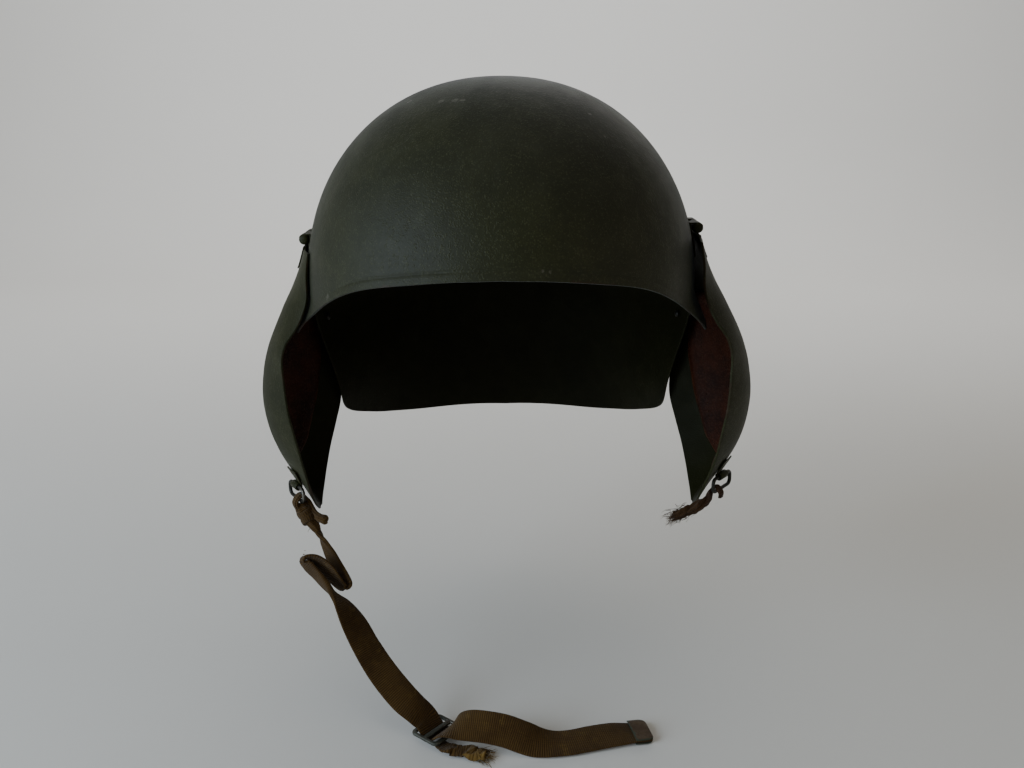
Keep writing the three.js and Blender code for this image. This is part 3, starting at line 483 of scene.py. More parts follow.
def rectangle_edge(points: Array) -> Array:
    """Distance along a grid from each of its points to the nearest of its four edges."""
    down = np.linalg.norm(np.diff(points, axis=0), axis=-1)
    along = np.linalg.norm(np.diff(points, axis=1), axis=-1)
    rows, columns = points.shape[:2]
    fall = np.concatenate([np.zeros((1, columns)), np.cumsum(down, 0)])
    run = np.concatenate([np.zeros((rows, 1)), np.cumsum(along, 1)], 1)
    return np.minimum(np.minimum(fall, fall[-1:] - fall), np.minimum(run, run[:, -1:] - run))


def threads_form(roots: Array, ways: Array, lengths: Array, radius: float, droop: float, seed: int,
                 floor: float = -1e9) -> Form:
    """A tuft of loose threads as one form.

    A thread is root + way * length * t, bent by a sine at its own rate and drooping with t squared. Its
    five-sided ring shrinks towards the tip, and nothing sinks below the floor.

    Args:
        roots: where the threads start.
        ways: unit directions that they leave in.
        lengths: their lengths.
        radius: a thread's radius at its root.
        droop: share of its length that a tip sinks.
        seed: seed of the bends.
        floor: height that the threads may lie on.

    Returns:
        The tuft, with a value "fray" that runs from 0 at the roots to 1 at the tips.
    """
    rng = np.random.default_rng(seed)
    steps, sides, count = 8, 5, len(roots)
    t = np.linspace(0, 1, steps)[None, :, None]
    size = lengths[:, None, None]
    side = unit(np.cross(ways, rng.normal(size=ways.shape)))[:, None]
    waves = np.sin(t * math.pi * rng.uniform(0.6, 1.9, (count, 1, 1)))
    bend = side * waves * rng.uniform(0.05, 0.22, (count, 1, 1))
    line = roots[:, None] + size * (ways[:, None] * t + bend + np.array([0, 0, -droop]) * t**2)
    first = unit(np.cross(ways, side[:, 0]))[:, None, None]
    angle = circle(sides)[:, None]
    ring = np.cos(angle) * side[:, :, None] + np.sin(angle) * first
    points = line[:, :, None] + ring * (radius * (1 - 0.65 * t))[:, :, None]
    points[..., 2] = np.maximum(points[..., 2], floor)
    fray = np.broadcast_to(t[..., None], (count, steps, sides, 1)).reshape(-1)
    along = np.broadcast_to(t[..., None] * size[..., None], (count, steps, sides, 1)).reshape(-1) * MM
    return beads_form(points, np.stack([along, np.zeros_like(along)], -1), {"fray": fray})


def make_piece(name: str, form: Form, finish: Material, body: Body,
               replaces: Sequence[str] = ()) -> Piece:
    """Puts a form into a Blender object in metres and hangs it on its body.

    Args:
        name: the piece's name.
        form: points in millimetres, and faces.
        finish: its material.
        body: the body that it rides on.
        replaces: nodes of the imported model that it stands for.

    Returns:
        The new object.
    """
    mesh = bpy.data.meshes.new(name)
    faces = [face for block in form.faces for face in block.tolist()]
    mesh.from_pydata((form.points * MM).tolist(), [], faces)
    count = len(form.points)
    values = {"edge": np.full(count, FAR_FROM_EDGE), "fray": np.zeros(count), **form.values}
    for key, value in values.items():
        mesh.attributes.new(key, "FLOAT", "POINT").data.foreach_set("value", value.astype(np.float32))
    corners = np.empty(len(mesh.loops), np.int32)
    mesh.loops.foreach_get("vertex_index", corners)
    uv = form.points[:, :2] * MM if form.uv is None else form.uv
    mesh.uv_layers.new(name="UVMap").data.foreach_set("uv", uv[corners].astype(np.float32).reshape(-1))
    mesh.polygons.foreach_set("use_smooth", np.ones(len(mesh.polygons), bool))
    mesh.materials.append(finish)
    piece = bpy.data.objects.new(name, mesh)
    bpy.context.scene.collection.objects.link(piece)
    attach(piece, body.value)
    if replaces:
        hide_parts(*replaces)
    LOG.info("%s: %d points, %d faces", name, len(mesh.vertices), len(mesh.polygons))
    return piece


def thicken(piece: Piece, thickness: float, offset: float = -1,
            inside: Optional[Material] = None) -> None:
    """Gives a sheet its wall.

    Args:
        piece: the sheet.
        thickness: the wall's thickness.
        offset: -1 puts the wall inside the sheet, 0 to both sides and 1 outside.
        inside: finish of the new face, where it isn't the sheet's own.
    """
    wall = piece.modifiers.new("wall", "SOLIDIFY")
    wall.thickness = thickness * MM
    wall.offset = offset
    wall.use_even_offset = True
    if inside is not None:
        piece.data.materials.append(inside)
        wall.material_offset = 1


def soften(piece: Piece, width: float) -> None:
    """Rounds the edges that turn by more than SHARP_ANGLE degrees."""
    rounding = piece.modifiers.new("rounding", "BEVEL")
    rounding.width = width * MM
    rounding.segments = 2
    rounding.limit_method = "ANGLE"
    rounding.angle_limit = math.radians(SHARP_ANGLE)


# Shader nodes


VECTOR, FLOAT = "NodeSocketVector", "NodeSocketFloat"


class Graph:
    """Adds nodes to a tree in a line or two each."""

    def __init__(self, tree: Tree) -> None:
        """Keeps the tree."""
        self.tree = tree

    def add(self, kind: str, inputs: Optional[dict[Any, Any]] = None, **settings: Any) -> bpy.types.Node:
        """Adds a node.

        Args:
            kind: the node's type.
            inputs: for a socket's name or number, either a value or the socket that feeds it.
            settings: properties of the node, set before its inputs.

        Returns:
            The node.
        """
        node = self.tree.nodes.new(kind)
        for key, value in settings.items():
            setattr(node, key, value)
        for key, value in (inputs or {}).items():
            if isinstance(value, Socket):
                self.tree.links.new(value, node.inputs[key])
            else:
                node.inputs[key].default_value = value
        return node

    def math(self, operation: str, a: Any, b: Any = 0.0) -> Socket:
        """Adds a calculation with one or two numbers."""
        return self.add("ShaderNodeMath", {0: a, 1: b}, operation=operation).outputs[0]

    def plus(self, a: Any, b: Any) -> Socket:
        """Adds two numbers."""
        return self.math("ADD", a, b)

    def minus(self, a: Any, b: Any) -> Socket:
        """Takes b from a."""
        return self.math("SUBTRACT", a, b)

    def times(self, a: Any, b: Any) -> Socket:
        """Multiplies two numbers."""
        return self.math("MULTIPLY", a, b)

    def over(self, a: Any, b: Any) -> Socket:
        """Divides a by b."""
        return self.math("DIVIDE", a, b)

    def ribs(self, place: Any, pitch: Any) -> Socket:
        """Rounded ridges at an even pitch: the size of a sine of the place."""
        return self.math("ABSOLUTE", self.math("SINE", self.over(self.times(place, math.pi), pitch)))

    def mix(self, share: Any, a: Any, b: Any) -> Socket:
        """Mixes two colours."""
        a, b = ((*c, 1) if isinstance(c, tuple) else c for c in (a, b))
        return self.add("ShaderNodeMix", {0: share, 6: a, 7: b}, data_type="RGBA").outputs[2]

    def between(self, value: Any, low: Any, high: Any, to_low: float = 0, to_high: float = 1) -> Socket:
        """Maps a number smoothly from one range to another."""
        inputs = {"Value": value, "From Min": low, "From Max": high, "To Min": to_low, "To Max": to_high}
        return self.add("ShaderNodeMapRange", inputs, interpolation_type="SMOOTHSTEP").outputs["Result"]

    def tint(self, colour: Any, over: Any, share: Any, most: float = 1) -> Socket:
        """Lays a colour over another by a share, of which at most so much shows."""
        return self.mix(share if most == 1 else self.times(share, most), colour, over)

    def noise(self, vector: Any, scale: Any, detail: float = 2, rough: float = 0.5) -> Socket:
        """Adds a cloud of noise and gives its value."""
        inputs = {"Vector": vector, "Scale": scale, "Detail": detail, "Roughness": rough}
        return self.add("ShaderNodeTexNoise", inputs).outputs[0]

    def stretch(self, vector: Any, scale: Point) -> Socket:
        """Scales a pattern's coordinates by axis."""
        return self.add("ShaderNodeMapping", {"Vector": vector, "Scale": scale}).outputs[0]

    def attribute(self, name: str) -> Socket:
        """Reads a number stored at the points."""
        return self.add("ShaderNodeAttribute", attribute_name=name).outputs["Fac"]

    def here(self) -> Socket:
        """Gives the place on the object, in metres."""
        return self.add("ShaderNodeTexCoord").outputs["Object"]

    def use(self, group: Tree, **inputs: Any) -> bpy.types.NodeGroupOutput:
        """Places a node group with its own values."""
        values = {k.replace("_", " "): v for k, v in inputs.items()}
        return self.add("ShaderNodeGroup", values, node_tree=group).outputs

    def bump(self, height: Any, depth: float, strength: float = 1.0) -> Socket:
        """Turns a height from 0 to 1 into a normal, depth in millimetres."""
        inputs = {"Height": height, "Distance": depth * MM, "Strength": strength}
        return self.add("ShaderNodeBump", inputs).outputs["Normal"]

    def shade(self, **inputs: Any) -> None:
        """Ends the tree in a Principled shader with these inputs."""
        values = {k.replace("_", " "): (*v, 1) if isinstance(v, tuple) else v for k, v in inputs.items()}
        shader = self.add("ShaderNodeBsdfPrincipled", values)
        self.add("ShaderNodeOutputMaterial", {"Surface": shader.outputs[0]})

    def close(self, **results: Socket) -> Tree:
        """Ends a group with a number for each result, and gives its tree."""
        for name in results:
            self.tree.interface.new_socket(name, in_out="OUTPUT", socket_type=FLOAT)
        self.add("NodeGroupOutput", results)
        return self.tree


def new_group(name: str, inputs: dict[str, Any]) -> tuple[Graph, Any]:
    """Starts a shader node group.

    Args:
        name: the group's name.
        inputs: a socket type, or a number that becomes a float input's default, by input name.

    Returns:
        The graph inside it and the sockets that it reads.
    """
    graph = Graph(bpy.data.node_groups.new(name, "ShaderNodeTree"))
    for key, kind in inputs.items():
        number = not isinstance(kind, str)
        socket = graph.tree.interface.new_socket(key, in_out="INPUT", socket_type=FLOAT if number else kind)
        if number:
            socket.default_value = kind
    return graph, graph.add("NodeGroupInput").outputs


class Effects:
    """The node groups that the finishes share."""

    def __init__(self) -> None:
        """Builds each group once."""
        self.grain = self._grain()
        self.blotch = self._blotch()
        self.edge_wear = self._edge_wear()
        self.weave = self._weave()
        self.dust = self._dust()

    def worn(self, graph: Graph, here: Socket, width: float, amount: float) -> bpy.types.NodeGroupOutput:
        """Places the wear of a piece's own edges in a finish."""
        edge = graph.attribute("edge")
        return graph.use(self.edge_wear, Vector=here, Edge=edge, Width=width, Amount=amount)

    @staticmethod
    def _grain() -> Tree:
        """Sand in paint: rounded grains of mixed size. Height of the grains, and which of them are pale."""
        graph, read = new_group("paint_grain", {"Vector": VECTOR, "Scale": 900.0})
        cells = graph.add("ShaderNodeTexVoronoi", {"Vector": read["Vector"], "Scale": read["Scale"]})
        grains = graph.between(cells.outputs["Distance"], 0.0, 0.75, 1, 0)
        cloud = graph.noise(read["Vector"], graph.times(read["Scale"], 0.37), 3, 0.65)
        height = graph.times(grains, graph.between(cloud, 0.3, 0.75))
        pick = graph.add("ShaderNodeSeparateColor", {"Color": cells.outputs["Color"]}).outputs[0]
        speckle = graph.times(grains, graph.between(pick, 0.72, 1.0))
        return graph.close(Height=height, Speckle=speckle)

    @staticmethod
    def _blotch() -> Tree:
        """Slow stains: two clouds of noise, one six times finer than the other."""
        graph, read = new_group("blotch", {"Vector": VECTOR, "Scale": 16.0})
        slow = graph.noise(read["Vector"], read["Scale"], 3, 0.55)
        fine = graph.noise(read["Vector"], graph.times(read["Scale"], 6.1), 4, 0.6)
        both = graph.plus(graph.times(slow, 0.65), graph.times(fine, 0.35))
        return graph.close(Value=graph.between(both, 0.34, 0.66))

    @staticmethod
    def _edge_wear() -> Tree:
        """Paint rubbed off within a ragged width of an edge, and a wider brown halo of rust round it."""
        inputs = {"Vector": VECTOR, "Edge": FAR_FROM_EDGE, "Width": 1.5, "Amount": 0.5}
        graph, read = new_group("edge_wear", inputs)
        ragged = graph.noise(read["Vector"], 260.0, 4, 0.7)
        patch = graph.noise(read["Vector"], 45.0, 2, 0.5)
        reach = graph.times(read["Width"], graph.between(ragged, 0.35, 0.75, 0.1, 1.8))
        near = graph.between(graph.over(read["Edge"], reach), 0.6, 1.2, 1, 0)
        where = graph.between(graph.minus(graph.plus(patch, read["Amount"]), 0.5), 0.35, 0.6)
        bare = graph.times(near, where)
        halo = graph.between(graph.over(read["Edge"], graph.times(reach, 3.0)), 0.5, 1.3, 1, 0)
        rust = graph.times(halo, graph.between(patch, 0.5, 0.66))
        return graph.close(Bare=bare, Rust=rust)

    @staticmethod
    def _weave() -> Tree:
        """Ribbed webbing on cloth coordinates in metres: round ribs across it, fine lengthwise yarns, and a
        painted shade that darkens the hollows between ribs, varied by fuzz.
        """
        graph, read = new_group("weave", {"Vector": VECTOR, "Rib": 0.00125, "Yarn": 0.0008})
        split = graph.add("ShaderNodeSeparateXYZ", {0: read["Vector"]}).outputs
        wander = graph.times(graph.noise(read["Vector"], 300.0, 2), 0.0006)
        along = graph.plus(split[0], wander)
        rib, yarn = graph.ribs(along, read["Rib"]), graph.ribs(split[1], read["Yarn"])
        height = graph.plus(graph.times(rib, 0.75), graph.times(yarn, 0.25))
        fuzz = graph.noise(read["Vector"], 2600.0, 3, 0.7)
        # Painted shade: low between the ribs, where shade falls, and varied at random by the fuzz
        rib_shade_and_fuzz = graph.times(graph.between(height, 0.1, 0.95), graph.between(fuzz, 0.2, 0.8, 0.6, 1))
        return graph.close(Height=height, Tone=rib_shade_and_fuzz)

    @staticmethod
    def _dust() -> Tree:
        """Dust that settles on what faces up, broken by noise."""
        graph, read = new_group("dust", {"Vector": VECTOR, "Normal": VECTOR, "Scale": 60.0})
        up = graph.add("ShaderNodeSeparateXYZ", {0: read["Normal"]}).outputs[2]
        cloud = graph.noise(read["Vector"], read["Scale"], 5, 0.65)
        return graph.close(Mask=graph.times(graph.between(up, -0.2, 1.0), graph.between(cloud, 0.4, 0.75)))


# Finishes


def new_material(name: str) -> tuple[Material, Graph]:
    """An empty material and the graph of its tree."""
    material = bpy.data.materials.new(name)
    material.use_nodes = True
    material.node_tree.nodes.clear()
    return material, Graph(material.node_tree)


@dataclass(frozen=True)
class PaintFinish:
    """Matt olive paint with sand in it, rubbed at its edges and scuffed where it has been knocked.

    Its colours are for the stains (dark and light), the grains (pale), settled dust, a painted shade for the
    pits between grains, rust and bare steel.

    Attributes:
        grain: grains to a metre.
        grain_depth: their height.
        speckle: how pale the palest grains are.
        dusting: how much dust shows.
        wear_width: how far the edges are rubbed.
        wear_amount: how much of the edges is rubbed.
        gloss: strength of its reflections.
        sheen: strength of its soft bloom.
        scuffs: place and radius of each knock.
    """

    name: str = "olive_paint"
    dark: Colour = (0.0135, 0.0150, 0.0030)
    light: Colour = (0.0250, 0.0272, 0.0068)
    pale: Colour = (0.056, 0.058, 0.028)
    dusty: Colour = (0.036, 0.040, 0.026)
    pit_shade: Colour = (0.0070, 0.0076, 0.0014)
    rust: Colour = (0.022, 0.010, 0.004)
    bare: Colour = (0.12, 0.115, 0.090)
    grain: float = 1050.0
    grain_depth: float = 0.19
    speckle: float = 0.55
    dusting: float = 0.22
    wear_width: float = 0.36
    wear_amount: float = 0.24
    gloss: float = 0.16
    sheen: float = 0.0
    scuffs: tuple[tuple[Point, float], ...] = ()

    def build(self, effects: Effects) -> Material:
        """Makes the material."""
        material, graph = new_material(self.name)
        here = graph.here()
        normal = graph.add("ShaderNodeNewGeometry").outputs["Normal"]
        grain = graph.use(effects.grain, Vector=here, Scale=self.grain)
        stain = graph.use(effects.blotch, Vector=here, Scale=14.0)["Value"]
        dust = graph.use(effects.dust, Vector=here, Normal=normal, Scale=55.0)["Mask"]
        wear = effects.worn(graph, here, self.wear_width, self.wear_amount)
        colour = graph.mix(stain, self.dark, self.light)
        # Painted shade: the pits between sand grains, where the grain is low, are darkened
        colour = graph.tint(colour, self.pit_shade, graph.between(grain["Height"], 0.0, 0.45, 0.5, 0.0))
        colour = graph.tint(colour, self.pale, grain["Speckle"], self.speckle)
        colour = graph.tint(colour, self.dusty, dust, self.dusting)
        colour = graph.tint(colour, self.rust, wear["Rust"], 0.8)
        bare = graph.math("MAXIMUM", wear["Bare"], self._knocks(graph, here))
        colour = graph.tint(colour, self.bare, bare)
        rough = graph.between(stain, 0, 1, 0.60, 0.52)
        rough = graph.minus(rough, graph.times(bare, 0.14))
        height = graph.times(grain["Height"], graph.minus(1.0, bare))
        graph.shade(
            Base_Color=colour, Roughness=rough, Metallic=graph.times(bare, 0.7),
            Normal=graph.bump(height, self.grain_depth), Specular_IOR_Level=self.gloss,
            Sheen_Weight=self.sheen, Sheen_Roughness=0.45, Sheen_Tint=(0.72, 0.82, 1.0),
        )
        return material

    def _knocks(self, graph: Graph, here: Socket) -> Socket:
        """Ragged pale scuffs in small balls round named places."""
        ragged = graph.noise(graph.stretch(here, (1, 1, 2.2)), 620.0, 3, 0.75)
        total: Any = 0.0
        for place, radius in self.scuffs:
            ends = {0: here, 1: tuple(v * MM for v in place)}
            away = graph.add("ShaderNodeVectorMath", ends, operation="DISTANCE").outputs["Value"]
            near = graph.between(away, 0.2 * radius * MM, radius * MM, 1, 0)
            total = graph.plus(total, near)
        return graph.times(graph.between(graph.times(total, ragged), 0.36, 0.5), 0.55)


@dataclass(frozen=True)
class MetalFinish:
    """Thin worn paint or oxide over a small metal piece, bright where it is rubbed.

    Attributes:
        coat: the coat's dark colour, with coat_light for its light one.
        bare: colour of rubbed metal, with rust for the halo round it.
        wear_width: how far the edges are rubbed.
        wear_amount: how much of the edges is rubbed.
        rough: roughness of the coat where it is light.
        metallic: how metallic the coat is.
    """

    name: str
    coat: Colour
    coat_light: Colour
    bare: Colour
    rust: Colour = (0.035, 0.016, 0.008)
    wear_width: float = 0.5
    wear_amount: float = 0.55
    rough: float = 0.42
    metallic: float = 0.55

    def build(self, effects: Effects) -> Material:
        """Makes the material."""
        material, graph = new_material(self.name)
        here = graph.here()
        stain = graph.use(effects.blotch, Vector=here, Scale=90.0)["Value"]
        fine = graph.use(effects.grain, Vector=here, Scale=2600.0)
        wear = effects.worn(graph, here, self.wear_width, self.wear_amount)
        colour = graph.mix(stain, self.coat, self.coat_light)
        colour = graph.tint(colour, self.rust, wear["Rust"], 0.7)
        colour = graph.tint(colour, self.bare, wear["Bare"])
        metal = graph.between(wear["Bare"], 0, 1, self.metallic, 0.95)
        dull = graph.between(stain, 0, 1, self.rough + 0.12, self.rough)
        rough = graph.minus(dull, graph.times(wear["Bare"], 0.12))
        bump = graph.bump(fine["Height"], 0.05)
        graph.shade(Base_Color=colour, Roughness=rough, Metallic=metal, Normal=bump)
        return material


@dataclass(frozen=True)
class LeatherFinish:
    """Old dull leather: pebbled grain, darker creases, rubbed high spots and rubbed edges."""

    name: str = "dark_leather"
    dark: Colour = (0.0080, 0.0015, 0.0004)
    light: Colour = (0.030, 0.0064, 0.0014)
    rubbed: Colour = (0.058, 0.017, 0.005)

    def build(self, effects: Effects) -> Material:
        """Makes the material."""
        material, graph = new_material(self.name)
        here = graph.here()
        cells = graph.add(
            "ShaderNodeTexVoronoi", {"Vector": here, "Scale": 700.0, "Smoothness": 0.4}, feature="SMOOTH_F1"
        ).outputs["Distance"]
        creases = graph.noise(graph.stretch(here, (1, 0.35, 1)), 240.0, 5, 0.7)
        stain = graph.use(effects.blotch, Vector=here, Scale=30.0)["Value"]
        wear = effects.worn(graph, here, 1.6, 0.5)
        pebble = graph.between(cells, 0.1, 0.75, 1, 0)
        height = graph.plus(graph.times(pebble, 0.6), graph.times(creases, 0.5))
        colour = graph.mix(stain, self.dark, self.light)
        colour = graph.tint(colour, self.rubbed, graph.between(height, 0.55, 0.95), 0.35)
        colour = graph.tint(colour, self.rubbed, wear["Bare"], 0.6)
        rough = graph.between(height, 0.2, 0.9, 0.72, 0.5)
        bump = graph.bump(height, 0.22)
        graph.shade(Base_Color=colour, Roughness=rough, Normal=bump, Specular_IOR_Level=0.12)
        return material


@dataclass(frozen=True)
class WebbingFinish:
    """Ribbed cotton webbing, faded in patches, with paler loose ends.

    Attributes:
        shade_colour: painted shade between the ribs.
        body: colour of the cloth, with faded for its faded patches.
        loose: colour of rubbed places and loose threads.
        rib_depth: height of the ribs.
    """

    name: str
    shade_colour: Colour
    body: Colour
    faded: Colour
    loose: Colour
    rib_depth: float = 0.42

    def build(self, effects: Effects) -> Material:
        """Makes the material."""
        material, graph = new_material(self.name)
        here = graph.here()
        cloth = graph.add("ShaderNodeUVMap", uv_map="UVMap").outputs[0]
        weave = graph.use(effects.weave, Vector=cloth)
        stain = graph.use(effects.blotch, Vector=here, Scale=55.0)["Value"]
        rubbed = graph.noise(here, 150.0, 4, 0.7)
        colour = graph.mix(stain, self.body, self.faded)
        colour = graph.tint(colour, self.loose, graph.between(rubbed, 0.52, 0.72), 0.45)
        # Painted shade: the hollows between the ribs are darkened
        colour = graph.tint(colour, self.shade_colour, graph.between(weave["Tone"], 0, 1, 0.75, 0))
        colour = graph.tint(colour, self.loose, graph.between(graph.attribute("fray"), 0.15, 0.9))
        height = graph.plus(weave["Height"], graph.times(graph.noise(here, 1800.0, 3, 0.7), 0.35))
        graph.shade(
            Base_Color=colour, Roughness=0.92, Normal=graph.bump(height, self.rib_depth), Sheen_Weight=0.08,
            Sheen_Roughness=0.5, Specular_IOR_Level=0.12,
        )
        return material


@dataclass(frozen=True)
class FloorFinish:
    """Plain pale matt floor."""

    name: str = "pale_floor"
    colour: Colour = (0.74, 0.73, 0.71)

    def build(self) -> Material:
        """Makes the material."""
        material, graph = new_material(self.name)
        cloud = graph.noise(graph.here(), 3.0, 2, 0.5)
        soft = tuple(0.97 * c for c in self.colour)
        graph.shade(Base_Color=graph.mix(cloud, soft, self.colour), Roughness=0.85, Specular_IOR_Level=0.2)
        return material


# Scuffs on the painted shell: place in millimetres and radius
SHELL_SCUFFS = (
    ((-23.7, -59.8, -12.4), 4.5), ((-31.7, -56.0, -12.8), 4.0), ((-50.7, -34.9, -12.8), 4.5),
    ((-19.3, -61.7, -12.4), 3.0), ((50.2, -56.7, -20.4), 2.5), ((57.5, -70.1, -32.3), 2.0),
    ((22.0, -127.6, -95.3), 2.0), ((25.7, -126.9, -96.0), 2.0), ((-95.8, -79.6, -117.0), 4.0),
    ((60.0, 92.0, -60.0), 3.5), ((-88.0, 60.0, -70.0), 3.0),
)


@dataclass(frozen=True)
class Finishes:
    """The object's materials: one or two for each slot of the record."""

    paint: Material
    shell_paint: Material
    worn_steel: Material
    leather: Material
    webbing: Material
    red_webbing: Material
    buckle_metal: Material
    clip_metal: Material
    inside_shade_paint: Material

    @staticmethod
    def make() -> "Finishes":
        """Builds every material from the shared effects."""
        effects = Effects()
        recipes = {
            "paint": PaintFinish(),
            "shell_paint": PaintFinish(name="olive_shell_paint", scuffs=SHELL_SCUFFS, gloss=0.26, sheen=0.05),
            "worn_steel": MetalFinish(
                "worn_dark_steel", coat=(0.010, 0.010, 0.007), coat_light=(0.020, 0.019, 0.014),
                bare=(0.24, 0.23, 0.20), wear_amount=0.42, rough=0.36,
            ),
            "leather": LeatherFinish(),
            "webbing": WebbingFinish(
                "khaki_webbing", shade_colour=(0.012, 0.006, 0.002), body=(0.060, 0.030, 0.007),
                faded=(0.096, 0.052, 0.013), loose=(0.19, 0.115, 0.028),
            ),
            "red_webbing": WebbingFinish(
                "red_brown_webbing", shade_colour=(0.007, 0.003, 0.0015), body=(0.034, 0.014, 0.006),
                faded=(0.050, 0.023, 0.009), loose=(0.070, 0.037, 0.014),
            ),
            "buckle_metal": MetalFinish(
                "grey_green_buckle", coat=(0.032, 0.034, 0.026), coat_light=(0.056, 0.060, 0.047),
                bare=(0.20, 0.20, 0.17), wear_amount=0.46, rough=0.5, metallic=0.35,
            ),
            "clip_metal": MetalFinish(
                "brown_clip", coat=(0.042, 0.020, 0.006), coat_light=(0.072, 0.044, 0.018),
                bare=(0.075, 0.088, 0.066), wear_width=1.25, wear_amount=0.85, rough=0.68, metallic=0.0,
            ),
            # Painted shade: a darker copy of the paint for the inner faces of the bowl and plates, which lie
            # in shade
            "inside_shade_paint": PaintFinish(
                name="inside_paint_darkened_as_shade", dark=(0.0062, 0.0060, 0.0018), light=(0.0125, 0.0120, 0.0042),
                pale=(0.018, 0.018, 0.012), dusty=(0.008, 0.008, 0.006), rust=(0.012, 0.005, 0.002),
                speckle=0.15, dusting=0.05, gloss=0.06,
            ),
        }
        return Finishes(**{name: recipe.build(effects) for name, recipe in recipes.items()})


# Shell


@dataclass
class Shell:
    """The pressed steel bowl, its ear cut-outs and its turned brow.

    Attributes:
        finishes: the object's materials.
        half_width: half the bowl's width.
        front: reach from the middle to the brow.
        rear: reach from the middle to the back.
        height: drop at which the bowl is widest.
        shoulder: power of the drop in the bowl's outline.
        round: power of the outline's reach.
        ear_out: how far the sides swell over the ears.
        nape_out: how far the nape flares.
        lip_out: how far the brow's lip turns out.
        lip_band: height of that lip.
        spans: columns to each row of the rim's table.
        crown_rows: rows down to crown_drop.
        crown_drop: drop down to which all columns share their rows.
        side_rows: rows from there to the rim.
        groove: depth and width of the crease behind the lip.
        dent: height of the bowl's slow unevenness.
        stud: radius and height of a stud's dome.
        stud_drop: how far down the studs sit.
    """

    finishes: Finishes
    half_width: float = 120
    front: float = 132.7
    rear: float = 136
    height: float = 126
    shoulder: float = 2.14
    round: float = 2.145
    ear_out: float = 9
    nape_out: float = 8
    lip_out: float = 1.1
    lip_band: float = 5
    spans: int = 8
    crown_rows: int = 30
    crown_drop: float = 64
    side_rows: int = 46
    groove: tuple[float, float] = (0.35, 0.8)
    dent: float = 0.22
    stud: tuple[float, float] = (2.3, 1.3)
    stud_drop: float = 156

    def reach(self, drop: Array) -> tuple[Array, Array, Array]:
        """Half width, front reach and rear reach of the outer face.

        Their common factor is (1 - (1 - drop/height)^shoulder)^(1/round), so the outline is a rounded square
        turned about the middle. The sides swell by a smooth hump over the ears, and the nape flares with the
        square of the drop below the widest level.

        Args:
            drop: distance below the crown's top.

        Returns:
            The three reaches, each of the shape of drop.
        """
        above = np.maximum(self.height - drop, 0) / self.height
        swell = np.maximum(1 - above**self.shoulder, 0) ** (1 / self.round)
        ear = smoothstep(drop, 124, 152) * (1 - smoothstep(drop, 152, 218))
        nape = self.nape_out * (np.maximum(drop - self.height, 0) / 120) ** 2
        return self.half_width * swell + self.ear_out * ear, self.front * swell, self.rear * swell + nape

    def point(self, bearing: Array, drop: Array) -> Array:
        """The outer face at a bearing in degrees and a drop: front and rear half ellipses at each level."""
        side, front, rear = self.reach(drop)
        angle = np.radians(bearing)
        depth = np.where(np.cos(angle) > 0, front, rear)
        return np.stack([side * np.sin(angle), -depth * np.cos(angle), STEEL - drop], -1)

    def normal(self, bearing: Array, drop: Array) -> Array:
        """Outward normals of the outer face, by small steps each way."""
        turn = self.point(bearing + 0.1, drop) - self.point(bearing - 0.1, drop)
        fall = self.point(bearing, drop * 1.001) - self.point(bearing, drop * 0.999)
        return unit(np.cross(fall, turn))

    def drops(self, edge: Array) -> Array:
        """Drops of all rows, for rim points at drop edge: shared down to crown_drop, then even to the rim."""
        steep = math.asin((1 - (1 - self.crown_drop / self.height) ** self.shoulder) ** (1 / self.round))
        angle = np.linspace(0, steep, self.crown_rows + 1)[1:, None]
        crown = self.height * (1 - (1 - np.sin(angle) ** self.round) ** (1 / self.shoulder))
        share = np.linspace(0, 1, self.side_rows)[1:, None]
        body = blend(self.crown_drop, edge - self.lip_band, share)
        lip = edge - self.lip_band * (1 - np.linspace(0, 1, 9)[1:, None])
        return np.concatenate([np.broadcast_to(crown, (self.crown_rows, len(edge))), body, lip])

    def build(self) -> Piece:
        """Builds the bowl as one sheet from a pole at the crown to the rim, then gives it its wall."""
        half = spline(RIM, self.spans)
        bearing = np.concatenate([half[:, 0], 360 - half[-2:0:-1, 0]])
        edge = np.concatenate([half[:, 1], half[-2:0:-1, 1]])
        drop = self.drops(edge)
        bearings = np.broadcast_to(bearing, drop.shape)
        from_edge = edge - drop
        from_brow = np.minimum(bearing, 360 - bearing)
        up_lip = from_edge / self.lip_band
        lip = self.lip_out * (1 - smoothstep(from_brow, 54, 66)) * np.clip(1 - up_lip, 0, 1)
        depth, width = self.groove
        crease = np.exp(-(((from_edge - self.lip_band) / width) ** 2))
        groove = depth * crease * (1 - smoothstep(from_brow, 40, 60))
        dents = self.dent * waver(np.radians(bearings) * 3 + drop / 40, 5) * smoothstep(drop, 8, 50)
        points = self.point(bearings, drop) + self.normal(bearings, drop) * (lip - groove + dents)[..., None]
        rim = points[-1]
        flat = points.reshape(-1, 3)
        near = np.concatenate([
            np.linalg.norm(block[:, None] - rim[None], axis=-1).min(1) for block in np.array_split(flat, 60)
        ])
        count = len(bearing)
        ring = np.arange(count)
        fan = np.stack([np.zeros(count, int), 1 + ring, 1 + (ring + 1) % count], -1)
        quads = grid_quads(len(points), count, wrap_columns=True, first=1)
        points = np.concatenate([[[0, 0, STEEL]], flat])
        form = Form(points, [fan, quads], None, {"edge": np.concatenate([[FAR_FROM_EDGE], near])})
        piece = make_piece("helmet_shell", form, self.finishes.shell_paint, Body.HELMET,
                           ["shell"])
        # The inner face takes the darker paint as painted shade
        thicken(piece, STEEL, inside=self.finishes.inside_shade_paint)
        soften(piece, 0.4)
        return piece

